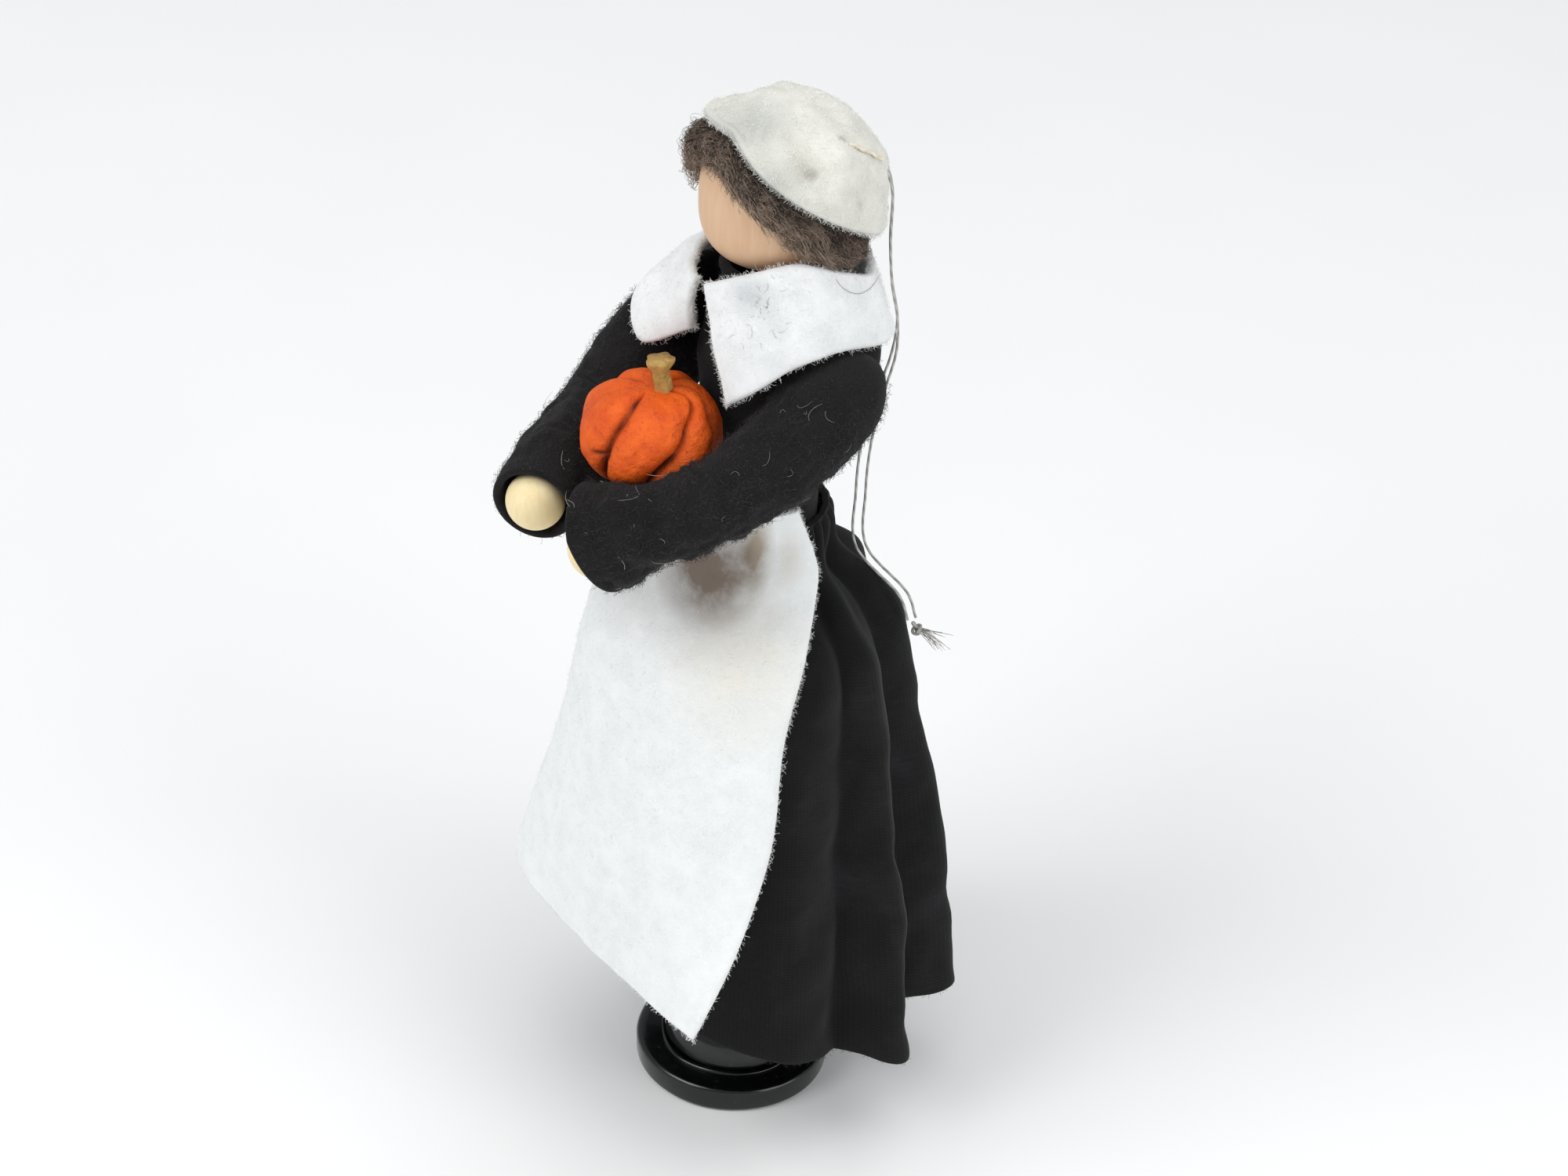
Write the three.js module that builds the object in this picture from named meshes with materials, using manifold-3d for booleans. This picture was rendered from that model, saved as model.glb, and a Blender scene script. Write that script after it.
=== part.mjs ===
// A pilgrim peg doll that stands on a disc, in felt and cotton clothes, holding a pumpkin.
// Millimetres, +Z up. The disc stands on z = 0, the doll faces -Y, and its left side is +X.
import * as THREE from 'three';
import { mergeVertices } from 'three/addons/utils/BufferGeometryUtils.js';
import Module from 'manifold-3d';

const wasm = await Module();
wasm.setup();

// Fits and sheet goods
const CLEARANCE = 0.3; // gap between pieces that touch
const FELT = 1.2; // thickness of the felt
const COTTON = 0.7; // thickness of the skirt's cotton

// Base disc and peg
const BASE_RADIUS = 11.1;
const BASE_HEIGHT = 3.2;
const BASE_EDGE = 0.4; // rounding of the disc's two edges
const PEG_RADIUS = 4.9;
const PEG_LENGTH = 102; // from the disc's top face to the peg's shoulder
const PEG_SHOULDER = 4; // height over which the peg narrows to its neck
const PEG_TENON_RADIUS = 3;
const PEG_TENON_LENGTH = 2;
const FOOT_RADIUS = 7.9;
const FOOT_HEIGHT = 2.4; // straight part of the foot
const FOOT_TAPER = 3; // height over which the foot narrows to the peg
const NECK_RADIUS = 2.6;
const NECK_LENGTH = 4; // from the peg's shoulder to the underside of the head
const NECK_TENON_LENGTH = 4;

// Head, hair and cap. Heights here are from the middle of the head.
const HEAD_RADIUS = 7.85;
const HEAD_HEIGHT = 14.4;
const CROWN_POWER = 2.4; // roundness of the head's upper half, 2 being an ellipse
const CHIN_POWER = 3; // roundness of its lower half
const HAIR_THICKNESS = 1; // where the cap covers it
const HAIR_PUFF = 0.9; // how much thicker it is where it shows
const HAIR_LUMP = 0.22; // how far the locks stand out
const HAIR_LOCKS = 15; // locks round the head
const HAIR_LOW_HEIGHT = -2.2; // mean height of the hair's lower edge
const HAIR_EDGE_RISE = 6; // how much higher that edge is in front
const HAIR_SAG = 1.3; // how much lower that edge is at the sides
const HAIR_TUCK = 13; // degrees that the hair goes up under the cap
const CAP_EDGE_HEIGHT = 1.8; // mean height of the cap's edge
const CAP_EDGE_RISE = 7.2; // how much higher that edge is in front
const CAP_ASKEW = 30; // degrees by which the edge runs on further round the right side
const CAP_SLACK = 0.9; // extra room at the back of the cap, where it is gathered
const CAP_CROWN_SLACK = 0.2; // the same at its crown
const STITCH_RADIUS = 0.2;
const STITCH_TURNS = [116, 126, 136]; // degrees from the front at which the seam's points lie
const STITCH_HEIGHTS = [8.4, 7.1, 5.4];

// Collar. Each point of its neck edge lies at a turn in degrees from the front, a distance outside
// the head's radius and a height above the head's underside.
const COLLAR_NECK = [
  [6, 0.8, -1],
  [37, 0.9, 1.4],
  [73, 0.9, 3],
  [102, 1.7, 1.8],
  [128, 2.5, 0],
  [180, 2.3, -0.9],
  [234, 2.1, -1],
  [281, -0.1, -1],
  [323, 0.2, -1.2],
  [354, 0.8, -1],
];
// Each point of its outer edge lies at a distance sideways from the shoulder, a distance behind
// the middle and a height above the sleeve's root, on the left and then on the right.
const COLLAR_LEFT = [
  [-5.1, -9.4, -6.3],
  [-2.6, -8, -3.8],
  [-0.4, -4, -0.6],
  [0.3, 1, 0],
  [-0.8, 6.2, -1.5],
  [-3.8, 9.7, -2.7],
];
const COLLAR_RIGHT = [
  [-3.8, 9.7, -2.7],
  [-1, 6, -1],
  [0.3, 1, 0],
  [0.2, -5, -0.9],
  [-0.4, -9.3, -3.6],
  [-4, -10.6, -6.1],
  [-10.4, -8.3, -1.6],
];
const COLLAR_BACK = [11, -3.1]; // the same for the middle of the back, which is behind the peg
const COLLAR_CROWN = 0.5; // swell of the collar between its edges

// Arms. Each point of an arm lies at a distance outwards from the pumpkin's side, behind the
// pumpkin's front and above its underside.
const SHOULDER_DROP = 7.8; // from the peg's top to the shoulder
const SLEEVE_ROOT_RADIUS = 5.2;
const SLEEVE_RADIUS = 4.4; // before the cuff
const SLEEVE_TAPER = [0.2, 0.7]; // shares of the arm's length where the sleeve starts and ends to narrow
const SLEEVE_WALL = 0.8;
const CUFF_START = 0.7; // share of the arm's length where the cuff starts to open
// How much wider each cuff is than its sleeve, and how far its middle rises off the arm
const LEFT_CUFF = { flare: 1.5, rise: 1.5 };
const RIGHT_CUFF = { flare: 0.2, rise: 0 };
const LEFT_ARM = [
  [-0.5, 15.7, 7.4],
  [-0.6, 8.5, 2.4],
  [-4.3, 2.6, -1.1],
  [-9.2, -1.4, -3.8],
];
const RIGHT_ARM = [
  [-0.6, 14.9, 7.4],
  [-1, 9.1, 1.8],
  [-3.4, 2, -1.2],
  [-7.8, -3.7, -2],
];
const ARM_OPENING = 40; // degrees that each arm can be bent outwards
const STEM_RADIUS = 0.8;
const HAND_RADIUS = 3.175;
const HAND_BORE_DEPTH = 2.6;
const HAND_SETBACK = 0.4; // from a hand's centre to the rim of its cuff

// Pumpkin
const PUMPKIN_RADIUS = 7.5;
const PUMPKIN_HEIGHT = 12;
const PUMPKIN_LOBES = 7;
const PUMPKIN_GROOVE = 1.2; // depth of the grooves between the lobes
const PUMPKIN_DIMPLE = 1.2; // depth of the hollows at its top and bottom
const PUMPKIN_DROP = 5.6; // from the shoulder to its centre
const PUMPKIN_STEM_RADIUS = 1.05;
const PUMPKIN_STEM_FLARE = 0.5; // how much wider the stem's top is
const PUMPKIN_STEM_LENGTH = 3.5;
const PUMPKIN_STEM_BEND = 0.2; // how far the stem's top leans back

// Skirt. Lengths here are down from the waist.
const WAIST_DROP = 18.9; // from the shoulder to the waist
const WAIST_PUFF = 1.9; // how far the gathers stand out a little below the waist
const WAIST_PUFF_LENGTH = 6;
const HIP_RADIUS = 15.4;
const HIP_LENGTH = 15;
const SKIRT_SWELL = 0.1; // how much fuller than straight the skirt is between hip and hem
const HEM_BACK_RADIUS = 21.5;
const HEM_FRONT_RADIUS = 17;
const HEM_BACK_LENGTH = 67;
const HEM_FRONT_LENGTH = 55.2;
const HEM_LIFT_TURN = -20; // degrees from the front at which the hem is shortest
const HEM_TUCK_POWER = 2.6; // how soon the hem turns from its front to its back radius
const HEM_LIFT_POWER = 1.4; // how soon it turns from its front to its back length
const FOLDS = 9;
const FOLD_DEPTH = 3.2; // at the hem
const FOLD_TURN = 108; // degrees from the front at which one fold stands out
const FOLD_SIDES = [60, 88]; // degrees from the front over which they start: the apron holds the front flat
const FOLD_DROP = [0.48, 0.88]; // shares of the way from waist to hem over which they deepen

// Apron. Each point of its side edges lies at a length down from the waist and a turn in degrees
// from the front.
const APRON_EDGE = [
  [-2.6, 82],
  [3.5, 96],
  [10.5, 77],
  [18.5, 67],
  [33.5, 62.5],
  [52.5, 46],
];
const APRON_EASE = 0.4; // extra room between the apron and the skirt's folds
const APRON_STAND_OFF = 1.6; // how much further off the skirt its hem hangs
// Where each side starts to hang flat, how soon it does, and how far from the middle it reaches
const APRON_LEFT = { length: 28.5, power: 2.5, reach: 33 };
const APRON_RIGHT = { length: 15.5, power: 1.9, reach: 26.3 };
const APRON_RIGHT_DROP = 1.5; // how much lower its right corner hangs

// Hanging loop. The points run down the back, from the cap to the knot.
const STRAND_RADIUS = 0.25;
const STRAND_STEPS = 34;
const LEFT_STRAND = [
  [7.25, 9.95, 117],
  [7.5, 10.3, 111],
  [7.7, 10.6, 106],
  [7.7, 11.4, 101.5],
  [7, 11, 97],
  [5.9, 10, 91],
  [5.2, 9.2, 85],
  [5.3, 9.4, 79],
  [6, 10.2, 72],
  [10.3, 11.9, 67.5],
  [11, 12.75, 64.4],
];
const RIGHT_STRAND = [
  [6.35, 10.6, 117],
  [6.6, 11, 111],
  [6.8, 11.3, 106],
  [6.9, 12.1, 101.5],
  [6.7, 11.9, 97],
  [6, 11, 91],
  [5.6, 10.2, 85],
  [5.7, 10.4, 79],
  [6.5, 11.2, 72],
  [10.8, 12.6, 67.9],
  [11.5, 13.41, 64.8],
];
const KNOT_RADIUS = 1.1;
const KNOT_TAIL = new THREE.Vector3(2, 2.6, -1.2); // from the knot's centre to the tail's end

// Places that follow from the sizes
const pegTopZ = BASE_HEIGHT + PEG_LENGTH;
const headBottomZ = pegTopZ + NECK_LENGTH;
const headCentreZ = headBottomZ + HEAD_HEIGHT / 2;
const shoulderZ = pegTopZ - SHOULDER_DROP;
const waistZ = shoulderZ - WAIST_DROP;
const bodiceRadius = PEG_RADIUS + CLEARANCE + FELT;
const waistRadius = bodiceRadius + CLEARANCE + COTTON / 2;
const shoulderX = bodiceRadius + CLEARANCE + SLEEVE_ROOT_RADIUS;
const pumpkinY = -(bodiceRadius + CLEARANCE + PUMPKIN_RADIUS);
const pumpkinZ = shoulderZ - PUMPKIN_DROP;
const hairGrowth = CLEARANCE + HAIR_THICKNESS;
const capGrowth = hairGrowth + HAIR_LUMP + CLEARANCE + FELT;

const MATERIALS = {
  blackGloss: paint('black_gloss', 0x1a1b1b, 0.2),
  wood: paint('bare_wood', 0xdcb98f, 0.6),
  wool: paint('brown_wool', 0x564840, 0.95),
  whiteFelt: paint('white_felt', 0xe6e7e3, 0.95),
  blackFelt: paint('black_felt', 0x232122, 0.95),
  cotton: paint('black_cotton', 0x222222, 0.9),
  orangeClay: paint('orange_clay', 0xe0621f, 0.5),
  tanClay: paint('tan_clay', 0xb58f50, 0.6),
  wire: paint('wire_stem', 0x2c2a29, 0.8),
  thread: paint('grey_thread', 0x4a4a4a, 0.7),
  creamThread: paint('cream_thread', 0xd8d2c0, 0.8),
};

function paint(name, color, roughness) {
  return new THREE.MeshStandardMaterial({ name, color, roughness, metalness: 0 });
}

function mesh(name, geometry, material) {
  const piece = new THREE.Mesh(geometry, material);
  piece.name = name;
  return piece;
}

/** Mix of a and b, a at share 0 and b at share 1. */
function mix(a, b, share) {
  return a + (b - a) * share;
}

/** A point at a radius and height, turned in radians from the front (-Y) towards the left (+X). */
function polar(turn, radius, z) {
  return new THREE.Vector3(radius * Math.sin(turn), -radius * Math.cos(turn), z);
}

/** A closed body from points and triangles, with its faces turned to point outwards. */
function bodyOf(points, faces) {
  let volume = 0;
  for (let i = 0; i < faces.length; i += 3) {
    const [a, b, c] = [points[faces[i]], points[faces[i + 1]], points[faces[i + 2]]];
    volume += a.dot(new THREE.Vector3().crossVectors(b, c));
  }
  const geometry = new THREE.BufferGeometry().setFromPoints(points);
  geometry.setIndex(volume > 0 ? faces : faces.slice().reverse());
  geometry.computeVertexNormals();
  return geometry;
}

/**
 * A sheet with thickness: outer(u, v) and inner(u, v) give its two sides, for u and v from 0 to 1.
 * A ring closes on itself in u, and a crowned sheet comes to a point at v = 1.
 */
function sheetSolid({ across, along, outer, inner, ring = false, crown = false }) {
  const columns = ring ? across : across + 1;
  const rows = crown ? along : along + 1;
  const points = [];
  for (const side of [outer, inner]) {
    for (let row = 0; row < rows; row += 1) {
      for (let column = 0; column < columns; column += 1) {
        points.push(side(column / across, row / along));
      }
    }
    if (crown) points.push(side(0, 1));
  }
  const layer = points.length / 2;
  const at = (side, column, row) => side * layer + row * columns + (column % columns);
  const faces = [];
  const quad = (a, b, c, d) => faces.push(a, b, c, a, c, d);
  const top = rows - 1;
  for (let column = 0; column < across; column += 1) {
    const next = column + 1;
    for (let row = 0; row < top; row += 1) {
      quad(at(0, column, row), at(0, next, row), at(0, next, row + 1), at(0, column, row + 1));
      quad(at(1, column, row), at(1, column, row + 1), at(1, next, row + 1), at(1, next, row));
    }
    quad(at(1, column, 0), at(1, next, 0), at(0, next, 0), at(0, column, 0));
    if (crown) {
      faces.push(at(0, column, top), at(0, next, top), layer - 1);
      faces.push(at(1, next, top), at(1, column, top), 2 * layer - 1);
    } else {
      quad(at(0, column, top), at(0, next, top), at(1, next, top), at(1, column, top));
    }
  }
  for (let row = 0; row < top && !ring; row += 1) {
    quad(at(0, 0, row), at(0, 0, row + 1), at(1, 0, row + 1), at(1, 0, row));
    quad(at(0, across, row), at(1, across, row), at(1, across, row + 1), at(0, across, row + 1));
  }
  return bodyOf(points, faces);
}

/** A solid skin of rings: point(u, v) runs round in u, from the pole at v = 0 to the pole at v = 1. */
function skinSolid({ around, along, point }) {
  const points = [point(0, 0), point(0, 1)];
  for (let row = 1; row < along; row += 1) {
    for (let column = 0; column < around; column += 1) points.push(point(column / around, row / along));
  }
  const at = (column, row) => 2 + (row - 1) * around + (column % around);
  const faces = [];
  for (let column = 0; column < around; column += 1) {
    const next = column + 1;
    faces.push(0, at(next, 1), at(column, 1));
    for (let row = 1; row < along - 1; row += 1) {
      faces.push(at(column, row), at(next, row), at(next, row + 1));
      faces.push(at(column, row), at(next, row + 1), at(column, row + 1));
    }
    faces.push(1, at(column, along - 1), at(next, along - 1));
  }
  return bodyOf(points, faces);
}

/** A solid turned about the Z axis from [radius, z] points. */
function turned(profile, segments) {
  const points = profile.map(([radius, z]) => new THREE.Vector2(radius, z));
  return new THREE.LatheGeometry(points, segments).rotateX(Math.PI / 2);
}

/** A round tube along a curve. */
function tube(curve, radius, steps, sides = 8) {
  const ring = [];
  for (let i = 0; i < sides; i += 1) {
    const angle = (2 * Math.PI * i) / sides;
    ring.push(new THREE.Vector2(radius * Math.cos(angle), radius * Math.sin(angle)));
  }
  return new THREE.ExtrudeGeometry(new THREE.Shape(ring), { extrudePath: curve, steps, bevelEnabled: false });
}

/** A straight rod between two points. */
function rod(from, to, radius, sides = 12) {
  return tube(new THREE.LineCurve3(from, to), radius, 1, sides);
}

function smoothCurve(points) {
  return new THREE.CatmullRomCurve3(points);
}

/** A geometry as a solid that can be cut and joined. */
function solidOf(geometry) {
  const bare = new THREE.BufferGeometry().setAttribute('position', geometry.getAttribute('position').clone());
  bare.setIndex(geometry.index);
  const merged = mergeVertices(bare, 1e-3);
  const triVerts = new Uint32Array(merged.index.array);
  const vertProperties = new Float32Array(merged.getAttribute('position').array);
  return new wasm.Manifold(new wasm.Mesh({ numProp: 3, vertProperties, triVerts }));
}

/** The geometry of a solid that was cut or joined. */
function geometryOf(solid) {
  const result = solid.getMesh();
  const geometry = new THREE.BufferGeometry();
  geometry.setAttribute('position', new THREE.BufferAttribute(new Float32Array(result.vertProperties), 3));
  geometry.setIndex(new THREE.BufferAttribute(new Uint32Array(result.triVerts), 1));
  geometry.computeVertexNormals();
  return geometry;
}

function cut(geometry, ...tools) {
  return geometryOf(tools.reduce((solid, tool) => solid.subtract(solidOf(tool)), solidOf(geometry)));
}

/** Points of a quarter round from [outerRadius, low z] to [innerRadius, high z]. */
function shoulderArc(outerRadius, innerRadius, lowZ, highZ, steps, end = 1) {
  const points = [];
  for (let i = 0; i <= steps; i += 1) {
    const angle = (end * i * Math.PI) / (2 * steps);
    const radius = mix(innerRadius, outerRadius, Math.cos(angle));
    points.push([radius, mix(lowZ, highZ, Math.sin(angle))]);
  }
  return points;
}

/** The rod that the wire stem's hole through the chest is cut with. */
function stemHole(radius) {
  const reach = new THREE.Vector3(2 * bodiceRadius, 0, 0);
  const middle = new THREE.Vector3(0, 0, shoulderZ);
  return rod(middle.clone().sub(reach), middle.clone().add(reach), radius);
}

function makeBase() {
  const socketRadius = PEG_TENON_RADIUS + CLEARANCE;
  const socketZ = BASE_HEIGHT - PEG_TENON_LENGTH - CLEARANCE;
  const profile = [
    [0, 0],
    [BASE_RADIUS - BASE_EDGE, 0],
    [BASE_RADIUS, BASE_EDGE],
    [BASE_RADIUS, BASE_HEIGHT - BASE_EDGE],
    [BASE_RADIUS - BASE_EDGE, BASE_HEIGHT],
    [socketRadius, BASE_HEIGHT],
    [socketRadius, socketZ],
    [0, socketZ],
  ];
  return mesh('base_disc', turned(profile, 40), MATERIALS.blackGloss);
}

function makePeg() {
  const footZ = BASE_HEIGHT + CLEARANCE;
  const taperZ = footZ + FOOT_HEIGHT;
  const profile = [
    [0, BASE_HEIGHT - PEG_TENON_LENGTH],
    [PEG_TENON_RADIUS, BASE_HEIGHT - PEG_TENON_LENGTH],
    [PEG_TENON_RADIUS, footZ],
    [FOOT_RADIUS, footZ],
    ...shoulderArc(FOOT_RADIUS, PEG_RADIUS, taperZ, taperZ + FOOT_TAPER, 4),
    ...shoulderArc(PEG_RADIUS, NECK_RADIUS, pegTopZ - PEG_SHOULDER, pegTopZ, 4),
    [NECK_RADIUS, headBottomZ + NECK_TENON_LENGTH],
    [0, headBottomZ + NECK_TENON_LENGTH],
  ];
  const geometry = cut(turned(profile, 28), stemHole(STEM_RADIUS + CLEARANCE));
  return mesh('body_peg', geometry, MATERIALS.blackGloss);
}

/** Radius and height on the head's barrel shape, grown all round, at a lift of -90 to 90 degrees. */
function headSection(lift, growth) {
  const power = lift < 0 ? CHIN_POWER : CROWN_POWER;
  const round = (share) => Math.sign(share) * Math.abs(share) ** (2 / power);
  const radius = (HEAD_RADIUS + growth) * round(Math.max(Math.cos(lift), 0));
  return [radius, headCentreZ + (HEAD_HEIGHT / 2 + growth) * round(Math.sin(lift))];
}

/** The lift at which that shape has a height. */
function headLift(z, growth) {
  const share = (z - headCentreZ) / (HEAD_HEIGHT / 2 + growth);
  const power = share < 0 ? CHIN_POWER : CROWN_POWER;
  return Math.sign(share) * Math.asin(Math.min(Math.abs(share), 1) ** (power / 2));
}

function headPoint(turn, lift, growth) {
  const [radius, z] = headSection(lift, growth);
  return polar(turn, radius, z);
}

function makeHead() {
  const boreRadius = NECK_RADIUS + CLEARANCE;
  const boreTopZ = headBottomZ + NECK_TENON_LENGTH + CLEARANCE;
  const profile = [[0, boreTopZ], [boreRadius, boreTopZ], [boreRadius, headBottomZ]];
  const steps = 14;
  for (let i = 1; i <= steps; i += 1) {
    const [radius, z] = headSection(Math.PI * (i / steps - 0.5), 0);
    if (radius > boreRadius || i > steps / 2) profile.push([radius, z]);
  }
  return mesh('head_ball', turned(profile, 28), MATERIALS.wood);
}

/** Lift of the cap's edge. */
function capEdgeLift(turn) {
  const askew = THREE.MathUtils.degToRad(CAP_ASKEW) * Math.max(-Math.sin(turn), 0) ** 1.5;
  return headLift(headCentreZ + CAP_EDGE_HEIGHT + CAP_EDGE_RISE * Math.cos(turn + askew), capGrowthAt(turn, 0));
}

function makeHair() {
  const shownRows = 3;
  const rows = shownRows + 1; // the last row lies under the cap
  const place = (u, v, growth, puff) => {
    const turn = 2 * Math.PI * u;
    const lowHeight = HAIR_LOW_HEIGHT + HAIR_EDGE_RISE * Math.cos(turn) + HAIR_SAG * Math.cos(2 * turn);
    const low = headLift(headCentreZ + lowHeight, growth);
    const shown = Math.min((v * rows) / shownRows, 1);
    const tuck = THREE.MathUtils.degToRad(HAIR_TUCK) * Math.max(v * rows - shownRows, 0);
    const lift = mix(low, capEdgeLift(turn), shown) + tuck;
    return headPoint(turn, lift, growth + puff * Math.sin(Math.PI * shown));
  };
  const lump = (u, v) => HAIR_LUMP * Math.cos(2 * Math.PI * (HAIR_LOCKS * u + v));
  const geometry = sheetSolid({
    across: 4 * HAIR_LOCKS,
    along: rows,
    ring: true,
    outer: (u, v) => place(u, v, hairGrowth + lump(u, v), HAIR_PUFF),
    inner: (u, v) => place(u, v, CLEARANCE, 0),
  });
  return mesh('hair_band', geometry, MATERIALS.wool);
}

/** How far the cap's outer side is from the head, looser towards the back and even at the crown. */
function capGrowthAt(turn, lift) {
  const back = CAP_SLACK * (1 - Math.cos(turn)) / 2;
  return capGrowth + mix(CAP_CROWN_SLACK, back, Math.max(Math.cos(lift), 0));
}

function makeCap() {
  const place = (u, v, inset) => {
    const turn = 2 * Math.PI * u;
    const lift = mix(capEdgeLift(turn), Math.PI / 2, v);
    return headPoint(turn, lift, capGrowthAt(turn, lift) - inset);
  };
  const geometry = sheetSolid({
    across: 36,
    along: 7,
    ring: true,
    crown: true,
    outer: (u, v) => place(u, v, 0),
    inner: (u, v) => place(u, v, FELT),
  });
  return mesh('felt_cap', geometry, MATERIALS.whiteFelt);
}

function makeCapSeam() {
  const points = STITCH_TURNS.map((degrees, i) => {
    const turn = THREE.MathUtils.degToRad(degrees);
    const lift = headLift(headCentreZ + STITCH_HEIGHTS[i], capGrowth);
    return headPoint(turn, lift, capGrowthAt(turn, lift) + CLEARANCE + STITCH_RADIUS);
  });
  return mesh('cap_seam_thread', tube(smoothCurve(points), STITCH_RADIUS, 6), MATERIALS.creamThread);
}

function makeBodice() {
  const inner = PEG_RADIUS + CLEARANCE;
  const neck = NECK_RADIUS + CLEARANCE;
  const bottomZ = waistZ - 3 * FELT;
  const lowZ = pegTopZ - PEG_SHOULDER;
  const highZ = pegTopZ + CLEARANCE;
  const openness = 0.8; // the felt stops a little short of the neck
  const outerArc = shoulderArc(bodiceRadius, neck + FELT, lowZ, highZ + FELT, 5, openness);
  const innerArc = shoulderArc(inner, neck, lowZ, highZ, 5, openness).reverse();
  const profile = [[inner, bottomZ], [bodiceRadius, bottomZ], ...outerArc, ...innerArc, [inner, bottomZ]];
  const geometry = cut(turned(profile, 28), stemHole(STEM_RADIUS + CLEARANCE));
  return mesh('felt_bodice', geometry, MATERIALS.blackFelt);
}

function makeCollar() {
  const neckEdge = smoothCurve(
    COLLAR_NECK.map(([degrees, out, up]) =>
      polar(THREE.MathUtils.degToRad(degrees), HEAD_RADIUS + out, headBottomZ + up),
    ),
  );
  const rootTopZ = shoulderZ + SLEEVE_ROOT_RADIUS + CLEARANCE + FELT / 2;
  const edgePoint = (side) => ([out, back, up]) =>
    new THREE.Vector3(side * (shoulderX + out), back, rootTopZ + up);
  const outerEdge = smoothCurve([
    ...COLLAR_LEFT.map(edgePoint(1)),
    new THREE.Vector3(0, COLLAR_BACK[0], rootTopZ + COLLAR_BACK[1]),
    ...COLLAR_RIGHT.map(edgePoint(-1)),
  ]);
  const middle = (u, v) => neckEdge.getPointAt(u).lerp(outerEdge.getPointAt(u), v);
  const normalAt = (u, v) => {
    const step = 0.01;
    const alongEdge = middle(Math.min(u + step, 1), v).sub(middle(Math.max(u - step, 0), v));
    return alongEdge.cross(outerEdge.getPointAt(u).sub(neckEdge.getPointAt(u))).normalize();
  };
  const place = (u, v, offset) => {
    const lift = offset + COLLAR_CROWN * Math.sin(Math.PI * v);
    return middle(u, v).addScaledVector(normalAt(u, v), -lift);
  };
  const geometry = sheetSolid({
    across: 40,
    along: 4,
    outer: (u, v) => place(u, v, FELT / 2),
    inner: (u, v) => place(u, v, -FELT / 2),
  });
  return mesh('felt_collar', geometry, MATERIALS.whiteFelt);
}

/** The middle line of an arm, from the shoulder round the pumpkin to the hand, seen from the shoulder. */
function armCurve(side) {
  const joint = new THREE.Vector3(side * shoulderX, 0, shoulderZ);
  const besideX = PUMPKIN_RADIUS + CLEARANCE + (SLEEVE_ROOT_RADIUS + SLEEVE_RADIUS) / 2;
  const frontY = pumpkinY - PUMPKIN_RADIUS;
  const underZ = pumpkinZ - PUMPKIN_HEIGHT / 2;
  const route = (side > 0 ? LEFT_ARM : RIGHT_ARM).map(
    ([out, back, up]) => new THREE.Vector3(side * (besideX + out), frontY + back, underZ + up),
  );
  return smoothCurve([joint, ...route].map((point) => point.clone().sub(joint)));
}

/** Rods that cut the slot by which the fixed stem enters a sleeve in every place of the arm. */
function stemSlots(side) {
  const slots = [];
  const step = 8; // degrees between the rods
  for (let degrees = 0; degrees <= ARM_OPENING; degrees += step) {
    const turn = THREE.MathUtils.degToRad(degrees);
    const reach = new THREE.Vector3(-side * Math.cos(turn), Math.sin(turn), 0);
    reach.multiplyScalar(SLEEVE_ROOT_RADIUS + CLEARANCE);
    slots.push(rod(new THREE.Vector3(), reach, STEM_RADIUS + CLEARANCE));
  }
  return slots;
}

function makeSleeve(name, side) {
  const curve = armCurve(side);
  const pathSteps = 11;
  const rootSteps = 3;
  const rows = pathSteps + rootSteps;
  const frames = curve.computeFrenetFrames(pathSteps);
  const [taperStart, taperEnd] = SLEEVE_TAPER;
  const narrowing = (share) => THREE.MathUtils.clamp((share - taperStart) / (taperEnd - taperStart), 0, 1);
  const cuff = side > 0 ? LEFT_CUFF : RIGHT_CUFF;
  const opening = (share) => Math.max((share - CUFF_START) / (1 - CUFF_START), 0) ** 2;
  const place = (u, v, inset) => {
    const row = Math.round(v * rows);
    const step = Math.max(pathSteps - row, 0);
    const share = step / pathSteps;
    const sleeveRadius = mix(SLEEVE_ROOT_RADIUS, SLEEVE_RADIUS, narrowing(share));
    const radius = sleeveRadius + cuff.flare * opening(share) - inset;
    const round = ((row - pathSteps) * Math.PI) / (2 * rootSteps);
    const capAngle = Math.max(round, 0);
    const angle = 2 * Math.PI * u;
    return curve
      .getPointAt(share)
      .add(new THREE.Vector3(0, 0, cuff.rise * opening(share)))
      .addScaledVector(frames.normals[step], radius * Math.cos(capAngle) * Math.cos(angle))
      .addScaledVector(frames.binormals[step], radius * Math.cos(capAngle) * Math.sin(angle))
      .addScaledVector(frames.tangents[step], -radius * Math.sin(capAngle));
  };
  const felt = sheetSolid({
    across: 14,
    along: rows,
    ring: true,
    crown: true,
    outer: (u, v) => place(u, v, 0),
    inner: (u, v) => place(u, v, SLEEVE_WALL),
  });
  return mesh(name, cut(felt, ...stemSlots(side)), MATERIALS.blackFelt);
}

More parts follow.
